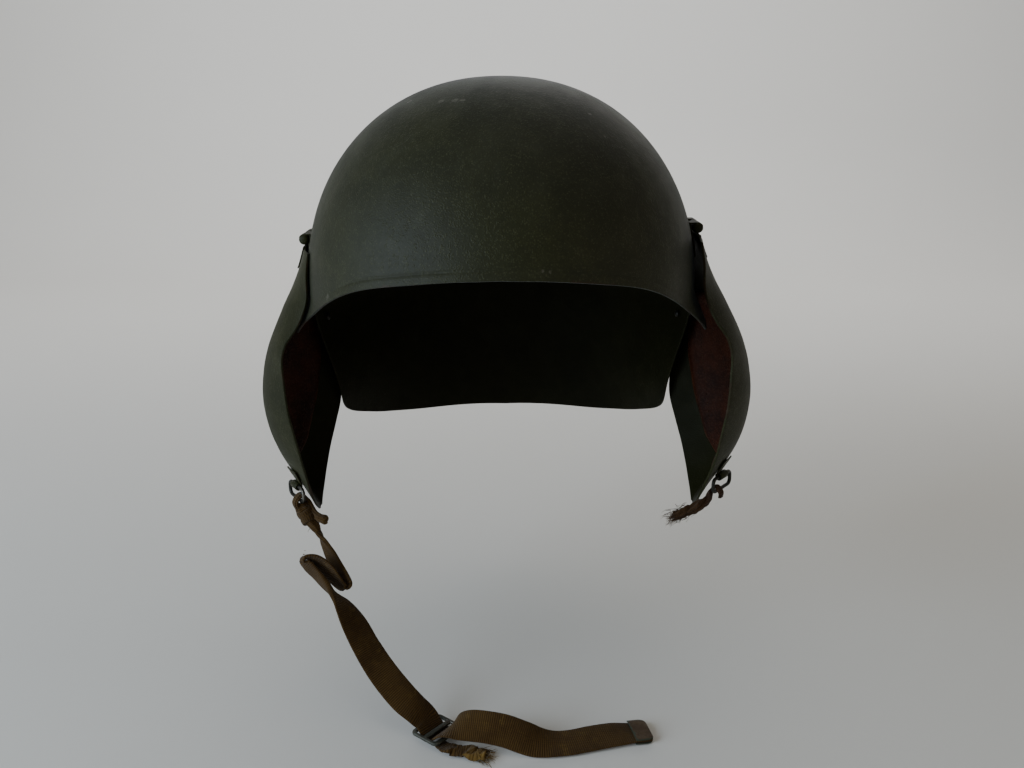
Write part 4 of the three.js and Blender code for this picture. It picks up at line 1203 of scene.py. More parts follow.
    def studs(self) -> None:
        """Builds the domed studs on the inner face behind the ear cut-outs."""
        radius, height = self.stud
        t = np.linspace(0, math.pi / 2, 9)[1:-1]
        dome = np.column_stack([radius * np.cos(t), height * np.sin(t)])
        profile = np.concatenate([[(0.02, 0), (1.4, 0), (radius, 0)], dome, [(0.02, height)]])
        for name, bearing in (("left", 109.0), ("right", 251.0)):
            place = np.array(bearing), np.array(self.stud_drop)
            inward = -self.normal(*place)
            form = tube_form(revolve(profile, 36, self.point(*place) + inward * (STEEL + 1.4), inward))
            form.values["edge"] = 2 - np.tile(profile[:, 1:], (1, 36)).reshape(-1)
            make_piece(f"stud_{name}", form, self.finishes.worn_steel, Body.HELMET,
                       [f"temple_stud_{name}"])


# Ear plates


@dataclass
class EarPlate:
    """One hinged ear plate with its lining pad, hinge, bail and lug, worked out on the +X side about its pin.

    Attributes:
        finishes: the object's materials.
        shell: the bowl that it hangs on.
        name: left or right, as worn.
        sign: 1 for the wearer's left and -1 for the right.
        body: the body that the plate rides on.
        pin_drop: depth of the hinge pin below the crown's top.
        lower: how much lower than the table its tip hangs.
        swing: how far it hangs out, in degrees.
        spread: how far its front edge is sprung off the head.
        bail_turn: turn of the bail about the vertical, in degrees.
        pin_x: the hinge pin's distance from the middle.
        barrel: outer radius of the hinge's knuckles.
        bore: radius of the hole through them.
        pin_radius: the pin's radius.
        pin_head: radius of the pin's round heads.
        head_rise: how far a head stands out.
        hinge_length: length of the three knuckles together.
        leaf: thickness of the hinge's leaves.
        leaf_foot: how far the leaves reach below the pin.
        pad_thickness: the pad's thickness at its crown.
        pad_edge: the pad's thickness at its outline.
        pad_clear: gap between the plate and the pad.
        pad_span: top and bottom of the pad below the pin.
        pad_front: how far forward the pad reaches, as a share of the way to the plate's front edge.
        bail_wire: radius of the bail's wire.
        bail_inner: width inside the bail.
        bail_drop: height inside the bail.
        bail_corner: radius of its corners.
        bail_below: distance of its top bar below the pin.
        bail_place: where it hangs between the plate's edges.
        bail_stand: how far its bar stands off the plate.
        lug_width: width of the strip that holds the bail.
        lug_clear: gap between that strip and the plate.
        stitch: length from one stitch to the next.
    """

    finishes: Finishes
    shell: Shell
    name: str
    sign: int
    body: Body
    pin_drop: float
    lower: float
    swing: float
    spread: float
    bail_turn: float
    pin_x: float = 120.7
    barrel: float = 3.2
    bore: float = 1.95
    pin_radius: float = 1.6
    pin_head: float = 3.0
    head_rise: float = 1.5
    hinge_length: float = 28
    leaf: float = 0.8
    leaf_foot: float = 18
    pad_thickness: float = 2.6
    pad_edge: float = 0.9
    pad_clear: float = 0.8
    pad_span: tuple[float, float] = (45, 152)
    pad_front: float = 0.93
    bail_wire: float = 1.2
    bail_inner: float = 20
    bail_drop: float = 6.5
    bail_corner: float = 3.2
    bail_below: float = 158.5
    bail_place: float = -0.62
    bail_stand: float = 3.5
    lug_width: float = 9
    lug_clear: float = 0.6
    stitch: float = 3.0

    def face(self, below: Array, place: Array) -> Array:
        """The plate's outer face, about the pin.

        A level section runs from the front edge over the outermost point to the rear edge. Its distance from
        the middle falls from the outermost by the share of the way to the edge, raised to the row's power.
        The sprung plate's front also stands off, less towards its rear and its hinge.

        Args:
            below: distance below the pin.
            place: -1 at the front edge, 0 at the outermost point, 1 at the rear edge.

        Returns:
            Points about the pin.
        """
        front_y, front_x, out_y, out_x, rear_y, rear_x, power = np.moveaxis(through(PLATE, below), -1, 0)
        edge_x = np.where(place < 0, front_x, rear_x)
        edge_y = np.where(place < 0, front_y, rear_y)
        share = np.abs(place)
        held = blend(4, 1, smoothstep(below, 10, 60))
        stand = self.spread * np.clip((1 - place) / 2, 0, None) ** held * (1 - smoothstep(below, 130, 181))
        x = out_x - (out_x - edge_x) * share**power + stand - self.pin_x
        down = below + self.lower * smoothstep(below, 4, 70)
        return np.stack([x, blend(out_y, edge_y, share), -down], -1)

    def patch(self, below: Array, place: Array, lift: float) -> Array:
        """A grid over the outer face, lifted off it along its normals."""
        points = self.face(below, place)
        return points + grid_normals(points) * lift

    def set_down(self, points: Array) -> Array:
        """Takes points about the pin to the helmet: mirrored to its side, swung out, and moved to the pin."""
        placed = points * (self.sign, 1, 1)
        angle = math.radians(-self.sign * self.swing)
        x, z = placed[..., 0].copy(), placed[..., 2].copy()
        placed[..., 0] = x * math.cos(angle) + z * math.sin(angle) + self.sign * self.pin_x
        placed[..., 2] = z * math.cos(angle) - x * math.sin(angle) + STEEL - self.pin_drop
        return placed

    def sheet(self, name: str, points: Array, body: Body, thickness: float = 0, offset: float = 1,
              replaces: Sequence[str] = (), wear: bool = True, rounding: float = 0.3,
              inside: Optional[Material] = None) -> None:
        """Makes a painted sheet from a grid about the pin.

        Args:
            name: the piece's name.
            points: the grid.
            body: the body that it rides on.
            thickness: its wall, or 0 for that of a hinge leaf.
            offset: side of the grid that the wall is on, as in thicken.
            replaces: nodes that it stands for.
            wear: its outline is rubbed.
            rounding: width of its rounded edges.
            inside: finish of the new face, where it isn't the same.
        """
        form = sheet_form(self.set_down(points), {"edge": rectangle_edge(points)} if wear else {})
        form = form if self.sign > 0 else form.flipped()
        piece = make_piece(name, form, self.finishes.paint, body, replaces)
        thicken(piece, thickness or self.leaf, offset, inside)
        soften(piece, rounding)

    def plate(self) -> None:
        """The pressed plate, drawn to a rounded tip."""
        below, place = grid_of(self.heights(PLATE[0, 0], PLATE[-1, 0], 110), np.linspace(-1, 1, 61))
        # The plate's inner face takes the darker paint as painted shade
        self.sheet(f"plate_{self.name}", self.patch(below, place, 0.0), self.body, STEEL, -1,
                   [f"ear_plate_{self.name}"], rounding=0.4, inside=self.finishes.inside_shade_paint)

    @staticmethod
    def heights(top: float, bottom: float, count: int) -> Array:
        """Heights that crowd towards the bottom, where the plate turns under."""
        t = np.linspace(0, 1, count)
        return blend(top, bottom, t + 0.35 * t * (1 - t))

    def pad(self) -> None:
        """The leather pad: a slab whose inner face is crowned, and sinks and puckers at its sewn margin."""
        v, u = grid_of(np.linspace(0, 1, 70), np.linspace(0, 1, 48))
        below = blend(*self.pad_span, v)
        rear = through(PAD_REAR, below)[..., 0]
        # Corners are rounded by drawing the sides in over the first and last tenth of the height
        to_end = np.clip(1 - np.minimum(v, 1 - v) / 0.1, 0, 1)
        pinch = 1 - 0.32 * (1 - np.sqrt(np.clip(1 - to_end**2, 0, 1)))
        middle = (rear - self.pad_front) / 2
        place = middle + (blend(-self.pad_front, rear, u) - middle) * pinch
        base = self.face(below, place)
        normals = grid_normals(base)
        edge = rectangle_edge(base)
        seam = 0.45 * np.exp(-(((edge - 4.2) / 0.9) ** 2))
        pucker = 0.12 * np.sin(arc_around(base) / 4.2 * 2 * math.pi) * np.exp(-(((edge - 3.0) / 2.0) ** 2))
        rise = np.sqrt(1 - (1 - np.clip(edge / 9, 0, 1)) ** 2)
        crown = self.pad_edge + (self.pad_thickness - self.pad_edge) * rise
        folds = 0.16 * waver(v * 9 + u * 3, 11) * smoothstep(edge, 4, 14)
        start = STEEL + self.pad_clear
        depth = start + np.clip(crown - seam + pucker + folds, 0.5, self.pad_thickness)
        outer, inner = base - normals * start, base - normals * depth[..., None]
        form = slab_form(self.set_down(outer), self.set_down(inner), {"edge": edge})
        piece = make_piece(f"pad_{self.name}", form, self.finishes.leather, self.body,
                           [f"ear_pad_{self.name}"])
        self.stitches(base - normals * (depth + 0.05)[..., None], normals)

    def stitches(self, seam: Array, normals: Array) -> None:
        """Thread along the pad's margin: short rounded bars laid end to end in the seam's groove.

        Args:
            seam: the pad's inner face as a grid, on which the thread lies.
            normals: outward normals of the plate there.
        """
        rows, columns = seam.shape[:2]
        top, left = 3, 4
        bottom, right = rows - 1 - top, columns - 1 - left
        r = np.concatenate([
            np.full(right - left + 1, top), np.arange(top, bottom + 1), np.full(right - left + 1, bottom),
            np.arange(bottom, top, -1),
        ])
        c = np.concatenate([
            np.arange(left, right + 1), np.full(bottom - top + 1, right), np.arange(right, left - 1, -1),
            np.full(bottom - top, left),
        ])
        loop = seam[r, c]
        length = arc_length(loop)
        middles = np.arange(self.stitch / 2, length[-1] - self.stitch / 2, self.stitch)
        centre = walk(loop, length, middles)
        out = unit(walk(normals[r, c], length, middles))
        along = unit(walk(loop, length, middles + 0.5) - centre)
        side = np.cross(along, out)
        t = np.linspace(-1, 1, 6)
        radius = 0.28 * np.sqrt(np.clip(1.05 - t**2, 0.05, 1))
        angle = circle(6)
        spine = centre[:, None] + along[:, None] * (1.05 * t)[:, None] + out[:, None] * (0.25 * t**2)[:, None]
        ring = side[:, None] * np.cos(angle)[:, None] + out[:, None] * np.sin(angle)[:, None]
        form = beads_form(self.set_down(spine[:, :, None] + ring[:, None] * radius[:, None, None]))
        make_piece(f"pad_stitches_{self.name}", form, self.finishes.red_webbing, self.body)

    def span(self, index: int) -> tuple[float, float]:
        """Where one of the three knuckles starts and ends along the pin."""
        low = (index - 1.5) * self.hinge_length / 3 + GAP / 2
        return low, low + self.hinge_length / 3 - GAP

    def collar(self, bore: float, outer: float, broken: float, ends: tuple[float, float], centre: Array,
               axis: Array, sides: int, flank: float) -> Form:
        """A ring with broken outer edges, turned about an axis.

        Args:
            bore: radius of its hole.
            outer: its outer radius.
            broken: width of the broken edges.
            ends: where it starts and ends along the axis.
            centre: a point of the axis, about the pin.
            axis: the axis's direction.
            sides: points round it.
            flank: distance to an edge that its outer face is given.

        Returns:
            The closed form, on its side of the helmet.
        """
        low, high = ends
        profile = np.array([(bore, low), (outer - broken, low), (outer, low + broken), (outer, high - broken),
                            (outer - broken, high), (bore, high)])
        points = self.set_down(revolve(profile, sides, centre, axis)).reshape(-1, 3)
        wear = np.repeat(np.array([0.6, 0.1, flank, flank, 0.1, 0.6]), sides)
        faces = [grid_quads(len(profile), sides, wrap_rows=True, wrap_columns=True)]
        return Form(points, faces, None, {"edge": wear}).outward()

    def knuckle(self, index: int) -> Form:
        """One rolled knuckle about the pin."""
        return self.collar(self.bore, self.barrel, 0.35, self.span(index), np.zeros(3), ALONG_PIN, 40, 0.3)

    def rod(self) -> Form:
        """The pin, whose ends are peened over into round heads that close the knuckles."""
        last = -self.hinge_length / 2
        turn = np.linspace(0, math.pi / 2, 9)
        head = np.column_stack([self.pin_head * np.sin(turn) + 0.01, last - self.head_rise * np.cos(turn)])
        end = np.concatenate([head, [(self.pin_head, last + 0.05), (self.pin_radius, last + 0.1)]])
        profile = np.concatenate([end, (end * (1, -1))[::-1]])
        return tube_form(self.set_down(revolve(profile, 32, np.zeros(3), ALONG_PIN)))

    def hinge(self) -> None:
        """Three knuckles on a pin, the moving leaf on the plate, and the fixed leaf on the bowl."""
        outer = joined([self.knuckle(0), self.knuckle(2)])
        for name, form, body, node in (
            ("hinge_knuckles", outer, Body.HELMET, "hinge_shell_leaf"),
            ("hinge_middle", self.knuckle(1), self.body, "hinge_plate_leaf"),
            ("hinge_rod", self.rod(), Body.HELMET, "hinge_pin"),
        ):
            make_piece(f"{name}_{self.name}", form, self.finishes.paint, body,
                       [f"{node}_{self.name}"])
        self.moving_leaf()
        self.fixed_leaf()

    def moving_leaf(self) -> None:
        """The leaf that lies on the plate, and the web that joins it to the middle knuckle."""
        half = self.hinge_length / 2
        below, y = grid_of(np.linspace(4.5, self.leaf_foot, 14), np.linspace(-half, half, 25))
        section = through(PLATE, below)
        place = np.where(y < 0, -y / section[..., 0], y / section[..., 4])
        self.sheet(f"hinge_leaf_moving_{self.name}", self.patch(below, place, GAP), self.body)
        third = self.hinge_length / 6 - GAP
        z, y = grid_of(np.linspace(-2.6, -5.2, 5), np.linspace(-third, third, 7))
        x = np.full_like(z, self.face(np.array(4.4), np.array(0.0))[0] + GAP)
        self.sheet(f"hinge_web_{self.name}", np.stack([x, y, z], -1), self.body, wear=False, rounding=0.15)

    def on_shell(self, drop: Array, level: Array) -> Array:
        """Points just over the bowl at a drop and a place front to back, about the pin."""
        side, front, rear = self.shell.reach(drop)
        x = side * np.sqrt(1 - (level / np.where(level < 0, front, rear)) ** 2) - self.pin_x
        points = np.stack([x, level, self.pin_drop - drop], -1)
        return points + grid_normals(points) * GAP

    def fixed_leaf(self) -> None:
        """The leaf that lies on the bowl, with two tabs whose arms ride over the outer knuckles."""
        half, over = self.hinge_length / 2, self.barrel - 0.6
        drop, y = grid_of(self.pin_drop + np.linspace(4.2, self.leaf_foot, 12), np.linspace(-half, half, 21))
        self.sheet(f"hinge_leaf_fixed_{self.name}", self.on_shell(drop, y), Body.HELMET)
        for index in (0, 2):
            y_line = np.linspace(*self.span(index), 6)
            drop, y = grid_of(self.pin_drop + np.linspace(-3.4, 5, 8), y_line)
            self.sheet(f"hinge_tab_{self.name}_{index}", self.on_shell(drop, y), Body.HELMET)
            # An arm leaves the tab's top straight out, then bends round the barrel
            drop, y = grid_of(self.pin_drop - 2.6 + np.array([0, 0.1]), y_line[0] + np.array([0, 1]))
            flat = np.stack([np.linspace(self.on_shell(drop, y)[0, 0, 0], 0, 5)[:-1], np.full(4, over)], -1)
            angle = np.radians(np.linspace(90, 20, 8))
            x, z = np.concatenate([flat, over * np.stack([np.cos(angle), np.sin(angle)], -1)]).T
            arm = np.stack(np.broadcast_arrays(x[:, None], y_line, z[:, None]), -1)
            self.sheet(f"hinge_arm_{self.name}_{index}", arm, Body.HELMET, rounding=0.2)

    def bail_frame(self) -> tuple[Array, Array, Array, float]:
        """Finds where the bail's top bar lies, from the plate's face round it.

        Returns:
            The bar's middle, its run forward, its direction out, and its distance below the pin.
        """
        below, small, aside = self.bail_below - self.lower, 1e-3, 0.1
        middle, down, along, ahead, behind = (
            self.face(np.array(below + fall), np.array(self.bail_place + shift))
            for fall, shift in ((0, 0), (small, 0), (0, small), (0, -aside), (0, aside))
        )
        centre = middle + unit(np.cross(down - middle, along - middle)) * self.bail_stand
        x, y = unit((ahead - behind) * (1, 1, 0))[:2]
        c, s = math.cos(-math.radians(self.bail_turn)), math.sin(-math.radians(self.bail_turn))
        forward = np.array([x * c - y * s, x * s + y * c, 0])
        return centre, forward, unit(np.cross(forward, (0, 0, -1))), below

    def bail(self) -> None:
        """The wire bail, a rounded rectangle hanging from its top bar, and the lug whose eye holds it."""
        centre, forward, out, below = self.bail_frame()
        wire, down = self.bail_wire, np.array([0.0, 0.0, -1.0])
        half, height = self.bail_inner / 2 + wire, self.bail_drop + 2 * wire
        path, inward = rounded_rectangle(half, height, self.bail_corner, 160)
        angle = circle(18)[:, None]
        plane = path[:, None] + inward[:, None] * wire * np.cos(angle)
        rings = centre + plane[..., :1] * forward + plane[..., 1:] * down + wire * np.sin(angle) * out
        edge = np.broadcast_to(1.1 + np.cos(angle[:, 0] + 0.6), rings.shape[:2])
        form = tube_form(self.set_down(rings), None, {"edge": edge}, loop=True)
        make_piece(f"strap_bail_{self.name}", form, self.finishes.worn_steel, self.body,
                   [f"bail_{self.name}"])

        half = self.lug_width / 2
        share = half / abs(float(through(PLATE, np.array(below))[0]))
        rows, places = grid_of(np.linspace(below - 11, below - 0.6, 14),
                               np.linspace(self.bail_place - share, self.bail_place + share, 9))
        self.sheet(f"lug_strip_{self.name}", self.patch(rows, places, self.lug_clear), self.body, 1.0)
        eye = self.collar(1.6, 2.6, 0.3, (-half, half), centre, forward, 32, 0.4)
        make_piece(f"lug_eye_{self.name}", eye, self.finishes.paint, self.body,
                   [f"bail_lug_{self.name}"])

    def build(self) -> None:
        """Builds every piece of this side."""
        self.plate()
        self.pad()
        self.hinge()
        self.bail()


def arc_around(points: Array) -> Array:
    """Distance from the middle of a grid round its outline, as an angle times a mean radius."""
    centre = points.mean((0, 1))
    away = points - centre
    return np.arctan2(away[..., 2], away[..., 1]) * 55


def rounded_rectangle(half: float, height: float, corner: float, count: int) -> tuple[Array, Array]:
    """A closed path round a rectangle with round corners, by even steps.

    Its sides are straight and its corners quarter circles. The path starts on the top side, at zero.

    Args:
        half: half the width.
        height: how far down it reaches.
        corner: radius of the corners.
        count: number of points.

    Returns:
        The points in the plane, and unit directions towards the inside.
    """
    quarter = np.linspace(0, math.pi / 2, 24)
    corners = [
        (half - corner, corner, -math.pi / 2), (half - corner, height - corner, 0.0),
        (-half + corner, height - corner, math.pi / 2), (-half + corner, corner, math.pi),
    ]
    line = np.concatenate([
        np.stack([x + corner * np.cos(start + quarter), y + corner * np.sin(start + quarter)], -1)
        for x, y, start in corners
    ])
    line = np.concatenate([line, line[:1]])
    length = arc_length(line)
    path = walk(line, length, np.linspace(0, length[-1], count, endpoint=False))
    along = unit(np.roll(path, -1, 0) - np.roll(path, 1, 0))
    return path, np.stack([-along[:, 1], along[:, 0]], -1)


# Chin strap


@dataclass
class ChinStrap:
    """The tied webbing strap with its rolled end, buckle, frayed tail and metal tip.

    Attributes:
        finishes: the object's materials.
        length: its length from the rolled end to the tip; not used.
        width: the webbing's width.
        step: distance between rings of the band.
        sides: points in a ring.
        exit: where the strap leaves the bail; not used.
    """

    finishes: Finishes
    length: float = 417
    width: float = 19
    step: float = 0.55
    sides: int = 32
    exit: Point = (-132.2, -21.7, -258.9)

    def band(self) -> tuple[Array, Form]:
        """The strap itself: a flat section carried along the route, gathered in folds where it is narrow.

        Returns:
            Its centre line, and its form.
        """
        path, across, wide, thick, s = route(STRAP, self.step)
        gathered = 1 - smoothstep(wide, 6.5, 11)
        rings = sweep(path, across, wide, thick * (0.94 - 0.12 * gathered), self.sides, 3.2)
        away = rings - path[:, None]
        angle = circle(self.sides)
        ripple = 1 + 0.15 * np.cos(angle[None] * 6 + 0.5 * np.sin(s[:, None] / 5)) * gathered[:, None]
        # Flat webbing cups a little across its width, by an amount that wavers along it
        cup = (1 - gathered) * 0.22 * waver(s / 30, 3)
        up = unit(np.cross(unit(np.gradient(path, axis=0)), unit(across)))
        lift = (np.cos(angle)[None] ** 2 * cup[:, None])[..., None] * up[:, None]
        points = settled(path[:, None] + away * ripple[..., None] + lift, 0.25)
        fray = 0.1 * gathered[:, None] + np.zeros((1, self.sides))
        uv = band_uv(path, np.full(len(path), self.width), self.sides)
        return path, tube_form(points, uv, {"fray": fray})

    def rolled_end(self) -> Form:
        """The stub's rolled end: a spiral whose radius grows with its turn, drawn out along its axis."""
        first, second = STRAP[0, :3], STRAP[1, :3]
        axis = unit(first - second)
        one = unit(np.cross(axis, (0, 0, 1)))
        two = np.cross(axis, one)
        turn = np.linspace(0, 2 * math.pi * 2.35, 120)
        radius = blend(0.55, 2.85, turn / turn[-1])
        spiral = radius[:, None] * (np.cos(turn)[:, None] * one + np.sin(turn)[:, None] * two)
        out = np.linspace(-4.6, 0.9, 12)
        points = first + spiral[:, None] + axis * out[:, None]
        points += (0.25 * waver(turn, 8))[:, None, None] * axis
        uv = np.stack(grid_of(arc_length(spiral), out), -1) * MM
        fray = smoothstep(out, 0.2, 0.9) * 0.5
        form = sheet_form(points, {"fray": np.broadcast_to(fray, points.shape[:2])})
        form.uv = uv.reshape(-1, 2)
        return form

    def buckle(self) -> Form:
        """Three-bar buckle: a flat rounded ring with a bar across its middle, lying on the table."""
        centre, corner, sides = np.array([-42.2, -93.3, -386.2]), 2.6, 20
        length, width, bar, rail, thick = 22, 25, 2.8, 2.2, 2.2
        turn = math.radians(-40)
        lengthwise = np.array([math.cos(turn), math.sin(turn), 0])
        crosswise = np.array([-math.sin(turn), math.cos(turn), 0])
        path, _ = rounded_rectangle((width - rail) / 2, length - bar, corner, 180)
        level = path[:, 1:] - (length - bar) / 2
        flat = centre + path[:, :1] * crosswise + level * lengthwise
        wide = blend(rail, bar, smoothstep(np.abs(level[:, 0]), 6.8, 9))
        across = np.cross(unit(np.roll(flat, -1, 0) - np.roll(flat, 1, 0)), (0, 0, 1))
        rings = sweep(flat, across, wide, np.full(len(flat), thick), sides, 3.0, loop=True)
        edge = 0.15 + 1.3 * np.abs(np.cos(2 * circle(sides)))
        ring = tube_form(rings, None, {"edge": np.broadcast_to(edge, rings.shape[:2])}, loop=True)
        line = centre + crosswise * (11.2 * np.linspace(-1, 1, 30))[:, None]
        across = np.broadcast_to(lengthwise, line.shape)
        middle = sweep(line, across, np.full(30, 3.6), np.full(30, 2.0), sides, 2.8)
        return joined([ring, tube_form(middle, None, {"edge": np.broadcast_to(edge, middle.shape[:2])})])

    def tip(self) -> Piece:
        """The folded metal tip: a sheet round the strap's end, its free corners rounded in plan."""
        mouth, end, cross = STRAP[-3, :3], STRAP[-1, :3], STRAP[-1, 3:6]
        along = unit(end - mouth)
        across = unit(cross - (cross @ along) * along)
        up = np.cross(across, along)
        up = up if up[2] > 0 else -up
        rise, half_width, corner = 1.55, 10, 4.6
        angle = np.linspace(math.pi / 2, -math.pi / 2, 15)
        top = np.stack([np.linspace(0.4, 10.4, 22), np.full(22, rise)], -1)
        nose = np.stack([10.45 + rise * np.cos(angle), rise * np.sin(angle)], -1)
        line = np.concatenate([top, nose, top[::-1] * (1, -1)])
        in_corner = np.clip((line[:, 0] - 7.4) / 4.7, 0, 1)
        half = half_width - corner * (1 - np.sqrt(np.clip(1 - in_corner**2, 0, 1)))
        share = np.linspace(-1, 1, 31)
        pinch = 1 - 0.22 * np.clip((np.abs(share) - 0.82) / 0.18, 0, 1) ** 1.5
        from_dimple = ((line[:, :1] - 5.2) / 1.3) ** 2 + ((np.abs(share)[None] - 0.5) / 0.13) ** 2
        dimple = 0.35 * np.exp(-from_dimple)
        height = line[:, 1:] * pinch - np.sign(line[:, 1:]) * dimple
        aside = (share * half[:, None])[..., None] * across
        points = settled(mouth + line[:, :1, None] * along + aside + height[..., None] * up, 0.55)
        form = sheet_form(points, {"edge": rectangle_edge(points)})
        piece = make_piece("strap_metal_tip", form.flipped(), self.finishes.clip_metal, Body.HELMET,
                           ["strap_tip"])
        thicken(piece, 0.7, 0)
        soften(piece, 0.2)
        return piece

    def tail(self) -> Form:
        """The torn end that lies in front of the buckle: a crumpled band that comes apart into threads."""
        path, across, wide, thick, s = route(TAIL, 0.5)
        sides = 28
        grown = smoothstep(s, 3, 12)
        path = path + unit(across) * (1.3 * grown * waver(s / 3.4, 27))[:, None]
        rings = sweep(path, across, wide, thick * 0.75, sides, 2.6)
        angle = circle(sides)
        # Creases run across the cloth at a slant, and the whole band rises and sinks along its way
        creases = waver(s[:, None] / 1.5 + 2.2 * np.cos(angle), 29)
        creases = creases + 0.5 * np.sin(3 * angle + s[:, None] / 2.4)
        rings[..., 2] += (creases + 0.7 * waver(s / 2.6, 21)[:, None] + 0.5) * grown[:, None]
        fray = smoothstep(s, 10, 32)[:, None] * 0.7 + 0.25 * np.clip(creases, -0.5, 1)
        band = tube_form(settled(rings, 0.25), band_uv(path, wide, sides), {"fray": fray})
        rng = np.random.default_rng(7)
        count, floor = 90, FLOOR_Z + 0.2
        share = rng.uniform(-1, 1, count)
        cross, onward = unit(np.array([-0.25, -0.97, 0.0])), unit(path[-1] - path[-6])
        lifts = np.array([0, 0, 1]) * rng.uniform(-1.1, 1.0, count)[:, None]
        roots = path[-1] + cross * (share * 5.0)[:, None] + lifts - onward * rng.uniform(0, 6, count)[:, None]
        ways = unit(onward + rng.normal(0, 0.28, (count, 3)) + cross * (share * 0.35)[:, None])
        tuft = threads_form(roots, ways, rng.uniform(3.5, 9.0, count), 0.17, 0.2, 17, floor)
        root, way = (path[-1] + cross * 4.0)[None], unit(np.array([[0.45, -0.75, -0.1]]))
        return joined([band, tuft, threads_form(root, way, np.array([11.0]), 0.16, 0.1, 23, floor)])

    def build(self) -> None:
        webbing = self.finishes.webbing
        path, form = self.band()
        strap = make_piece("strap_webbing", form, webbing, Body.HELMET, ["chin_strap"])
        rolled = make_piece("strap_rolled_end", self.rolled_end(), webbing, Body.HELMET)
        thicken(rolled, 0.75, 0)
        buckle = make_piece("strap_slide_buckle", self.buckle(), self.finishes.buckle_metal, Body.HELMET,
                            ["strap_buckle"])
        tail = make_piece("strap_frayed_tail", self.tail(), webbing, Body.HELMET,
                          ["strap_tail"])
        knot = make_piece("strap_knot", self.knot(), webbing, Body.HELMET)
        frays = make_piece("strap_fold_fray", self.fold_fray(), webbing, Body.HELMET)
        self.tip()
        LOG.info("strap is %.1f mm long", arc_length(path)[-1])

    def knot(self) -> Form:
        """The bunched knot under the bail, as a gathered body with two turns of webbing wound round it.

        The body takes its width and thickness from its table, and is wrinkled by a cosine of seven times its
        angle that twists as it goes. A turn is a circle round the body's axis that leans by a sine.
        """
        path, across, wide, thick, s = route(KNOT, 0.4)
        sides, turn = 42, circle(72)
        rings = sweep(path, across, wide, thick, sides, 2.2)
        wrinkle = 1 + 0.07 * np.cos(7 * circle(sides) + s[:, None] / 2.6) + 0.05 * waver(s / 2.2, 51)[:, None]
        body = path[:, None] + (rings - path[:, None]) * wrinkle[..., None]
        forms = [tube_form(body, band_uv(path, wide, sides), {"fray": np.full(body.shape[:2], 0.1)})]
        along = unit(path[-1] - path[0])
        one = unit(np.cross(along, (0.0, 1.0, 0.0)))
        spoke = np.cos(turn)[:, None] * one + np.sin(turn)[:, None] * np.cross(along, one)
        band, thin, sides = np.full(72, 4.6), np.full(72, 2.2), 20
        for share, lean, radius in ((0.3, 1.8, 4.6), (0.58, -1.6, 4.9)):
            centre = path[int(share * (len(path) - 1))]
            out = (radius + 0.35 * waver(turn, 53))[:, None]
            line = centre + spoke * out + along * (lean * np.sin(turn))[:, None]
            line = blend(line, np.roll(line, 1, 0), 0.5)
            ring = sweep(line, np.broadcast_to(along, line.shape), band, thin, sides, 2.6, loop=True)
            uv = band_uv(line, np.full(72, self.width), sides)
            forms.append(tube_form(ring, uv, {"fray": np.full(ring.shape[:2], 0.12)}, loop=True))
        return joined(forms)

    @staticmethod
    def fold_fray() -> Form:
        """Broken yarns at the outer fold and at the knot."""
        rng = np.random.default_rng(31)
        tufts, fold, knot = [], STRAP[20, :3] + (-1.5, 0, 0), STRAP[9, :3]
        for count, place, spread, way, stray, lengths, radius, droop, seed in (
            (12, fold, (0.8, 4.5, 1), (-0.75, -0.1, 0.35), 0.45, (0.8, 1.8), 0.14, 0.2, 33),
            (18, knot, (2, 2, 3), (0.2, -0.8, -0.2), 0.6, (1.5, 3.5), 0.13, 0.3, 35),
        ):
            roots = place + rng.normal(0, 1, (count, 3)) * spread
            ways = unit(np.array(way) + rng.normal(0, stray, (count, 3)))
            tufts.append(threads_form(roots, ways, rng.uniform(*lengths, count), radius, droop, seed))
        return joined(tufts)


@dataclass
class Remnant:
    """What is left of the torn strap: a loop on the left bail that ends in a tuft.

    Attributes:
        finishes: the object's materials.
        length: its length from end to end; not used.
        width: its average width; not used.
    """

    finishes: Finishes
    length: float = 46
    width: float = 6.5

    def build(self) -> None:
        path, across, wide, thick, s = route(REMNANT, 0.4)
        sides = 28
        rings = sweep(path, across, wide, thick, sides, 2.6)
        angle = circle(sides)
        loose = smoothstep(s, 13, 30)[:, None]
        folds = 1 + (0.08 + 0.16 * loose) * np.cos(angle * 5 + s[:, None] / 2.2)
        folds = folds + 0.24 * loose * waver(s[:, None] / 1.7 + 1.6 * np.sin(angle), 45)
        points = path[:, None] + (rings - path[:, None]) * folds[..., None]
        band = tube_form(points, band_uv(path, wide, sides), {"fray": 0.5 * loose + np.zeros((1, sides))})
        rng = np.random.default_rng(41)
        count = 170
        start = rng.uniform(0.72, 1, count)
        index = (start * (len(path) - 1)).astype(int)
        roots = path[index] + rng.normal(0, 1.7, (count, 3))
        toward = unit(path[-1] - path[-8])
        ways = unit(toward + rng.normal(0, 0.33, (count, 3)))
        tuft = threads_form(roots, ways, rng.uniform(3, 9, count), 0.17, 0.15, 43)
        finish = self.finishes.red_webbing
        piece = make_piece("torn_strap", band, finish, Body.LEFT_PLATE, ["strap_remnant"])
        threads = make_piece("torn_strap_threads", tuft, finish, Body.LEFT_PLATE)


# Studio


MIDDLE = (0.0, 0.0, -0.15)

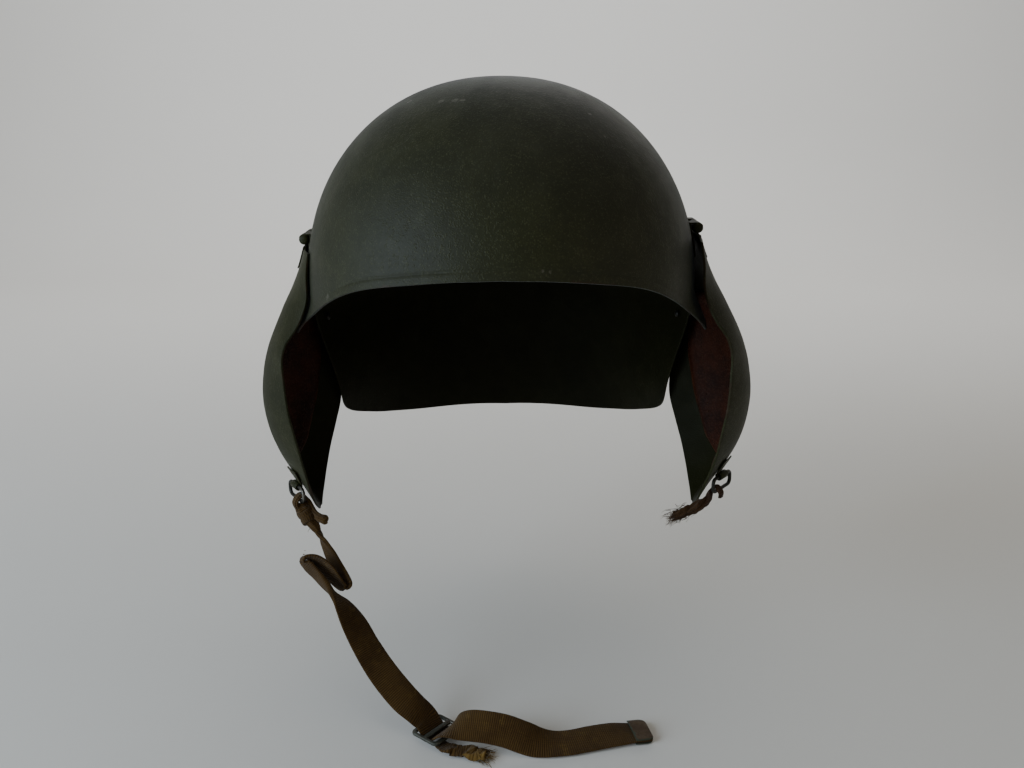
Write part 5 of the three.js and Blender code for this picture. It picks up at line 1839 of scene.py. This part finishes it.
# Lights: name, place, aim and size in metres, watts and colour
LIGHTS = (
    ("window_left", (-1.6, -0.95, 0.3), MIDDLE, (1.3, 1.2), 38, (0.72, 0.86, 1.0)),
    ("overhead", (0.1, -0.1, 1.7), (0.0, 0.0, -0.2), (1.6, 1.6), 3.5, (1.0, 0.98, 0.95)),
    ("side_right", (1.7, -0.8, 0.1), MIDDLE, (1.0, 1.2), 2, (1.0, 0.83, 0.56)),
    ("behind", (0.5, 1.7, 0.9), MIDDLE, (1.4, 1.0), 3, (1.0, 0.98, 0.94)),
    ("wall", (0.0, 1.0, 1.2), (0.0, 2.6, 0.2), (3.0, 1.0), 30, (1.0, 1.0, 1.0)),
)


@dataclass
class Studio:
    """Pale floor that curves up behind, soft lights and the camera.

    Attributes:
        camera_place: the camera's place, in metres.
        pitch: how far it looks down, in degrees.
        roll: how far it is turned about its view, in degrees.
        lens: its focal length, for a picture 36 mm wide.
        fill: colour of the light from all sides.
        fill_strength: strength of that light.
    """

    camera_place: Point = (0.006, -0.625, -0.01085)
    pitch: float = 16.1
    roll: float = 0.5
    lens: float = 35
    fill: Colour = (0.94, 0.88, 0.74)
    fill_strength: float = 0.24

    def camera(self) -> None:
        """Sets the camera: right and up axes turned about the view by the roll, then pitched down."""
        data = bpy.data.cameras.new("camera")
        data.lens, data.sensor_width = self.lens, SENSOR_WIDTH
        data.clip_start, data.clip_end = 0.02, 40
        pitch, roll = math.radians(self.pitch), math.radians(self.roll)
        level_up = np.array([0, math.sin(pitch), math.cos(pitch)])
        right = math.cos(roll) * np.array([1, 0, 0]) - math.sin(roll) * level_up
        up = math.sin(roll) * np.array([1, 0, 0]) + math.cos(roll) * level_up
        back = np.array([0, -math.cos(pitch), math.sin(pitch)])
        turn = Matrix(np.column_stack([right, up, back]).tolist()).to_4x4()
        camera = bpy.data.objects.new("camera", data)
        camera.matrix_world = Matrix.Translation(self.camera_place) @ turn
        bpy.context.scene.collection.objects.link(camera)
        bpy.context.scene.camera = camera

    def floor(self) -> None:
        """A sweep of paper: flat under the object, a quarter circle behind it, then upright."""
        angle = np.linspace(0, math.pi / 2, 24)
        before, behind, bend, top, half_width = -5.0, 1.5, 1.0, 4.5, 6
        curve = np.stack([behind + bend * np.sin(angle), bend * (1 - np.cos(angle))], -1)
        y, z = np.concatenate([[(before, 0.0), (0.0, 0.0)], curve, [(behind + bend, top)]]).T
        x = np.linspace(-half_width, half_width, 9)
        points = np.stack(np.broadcast_arrays(x, y[:, None], z[:, None] + FLOOR_Z * MM), -1)
        mesh = bpy.data.meshes.new("floor")
        mesh.from_pydata(points.reshape(-1, 3).tolist(), [], grid_quads(len(y), len(x))[:, ::-1].tolist())
        mesh.polygons.foreach_set("use_smooth", np.ones(len(mesh.polygons), bool))
        mesh.materials.append(FloorFinish().build())
        floor = bpy.data.objects.new("floor", mesh)
        bpy.context.scene.collection.objects.link(floor)

    @staticmethod
    def light(name: str, place: Point, aim: Point, size: tuple[float, float], power: float,
              colour: Colour) -> None:
        """Adds a soft rectangular light that faces a point, from a row of LIGHTS."""
        data = bpy.data.lights.new(name, "AREA")
        data.shape = "RECTANGLE"
        data.size, data.size_y = size
        data.energy, data.color = power, colour
        lamp = bpy.data.objects.new(name, data)
        away = np.array(place) - np.array(aim)
        back = unit(away)
        right = unit(np.cross((0, 0, 1), back))
        turn = Matrix(np.column_stack([right, np.cross(back, right), back]).tolist()).to_4x4()
        lamp.matrix_world = Matrix.Translation(place) @ turn
        bpy.context.scene.collection.objects.link(lamp)

    def build(self) -> None:
        """Builds the studio."""
        self.camera()
        self.floor()
        for lamp in LIGHTS:
            self.light(*lamp)
        world = bpy.data.worlds.new("world")
        world.use_nodes = True
        background = world.node_tree.nodes["Background"].inputs
        background["Color"].default_value = (*self.fill, 1)
        background["Strength"].default_value = self.fill_strength
        bpy.context.scene.world = world


def main() -> None:
    """Loads the frame and builds the studio, the strap, the bowl and the ear plates, in that order."""
    logging.basicConfig(level=logging.INFO, format="%(name)s: %(message)s")
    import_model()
    Studio().build()
    finishes = Finishes.make()
    ChinStrap(finishes).build()
    Remnant(finishes).build()
    shell = Shell(finishes)
    shell.build()
    shell.studs()
    left = EarPlate(finishes, shell, "left", 1, Body.LEFT_PLATE, 90.3, 4.3, swing=1, spread=5, bail_turn=11)
    right = EarPlate(finishes, shell, "right", -1, Body.HELMET, 95.3, 0, swing=0, spread=0, bail_turn=6)
    left.build()
    right.build()


if __name__ == "__main__":
    main()
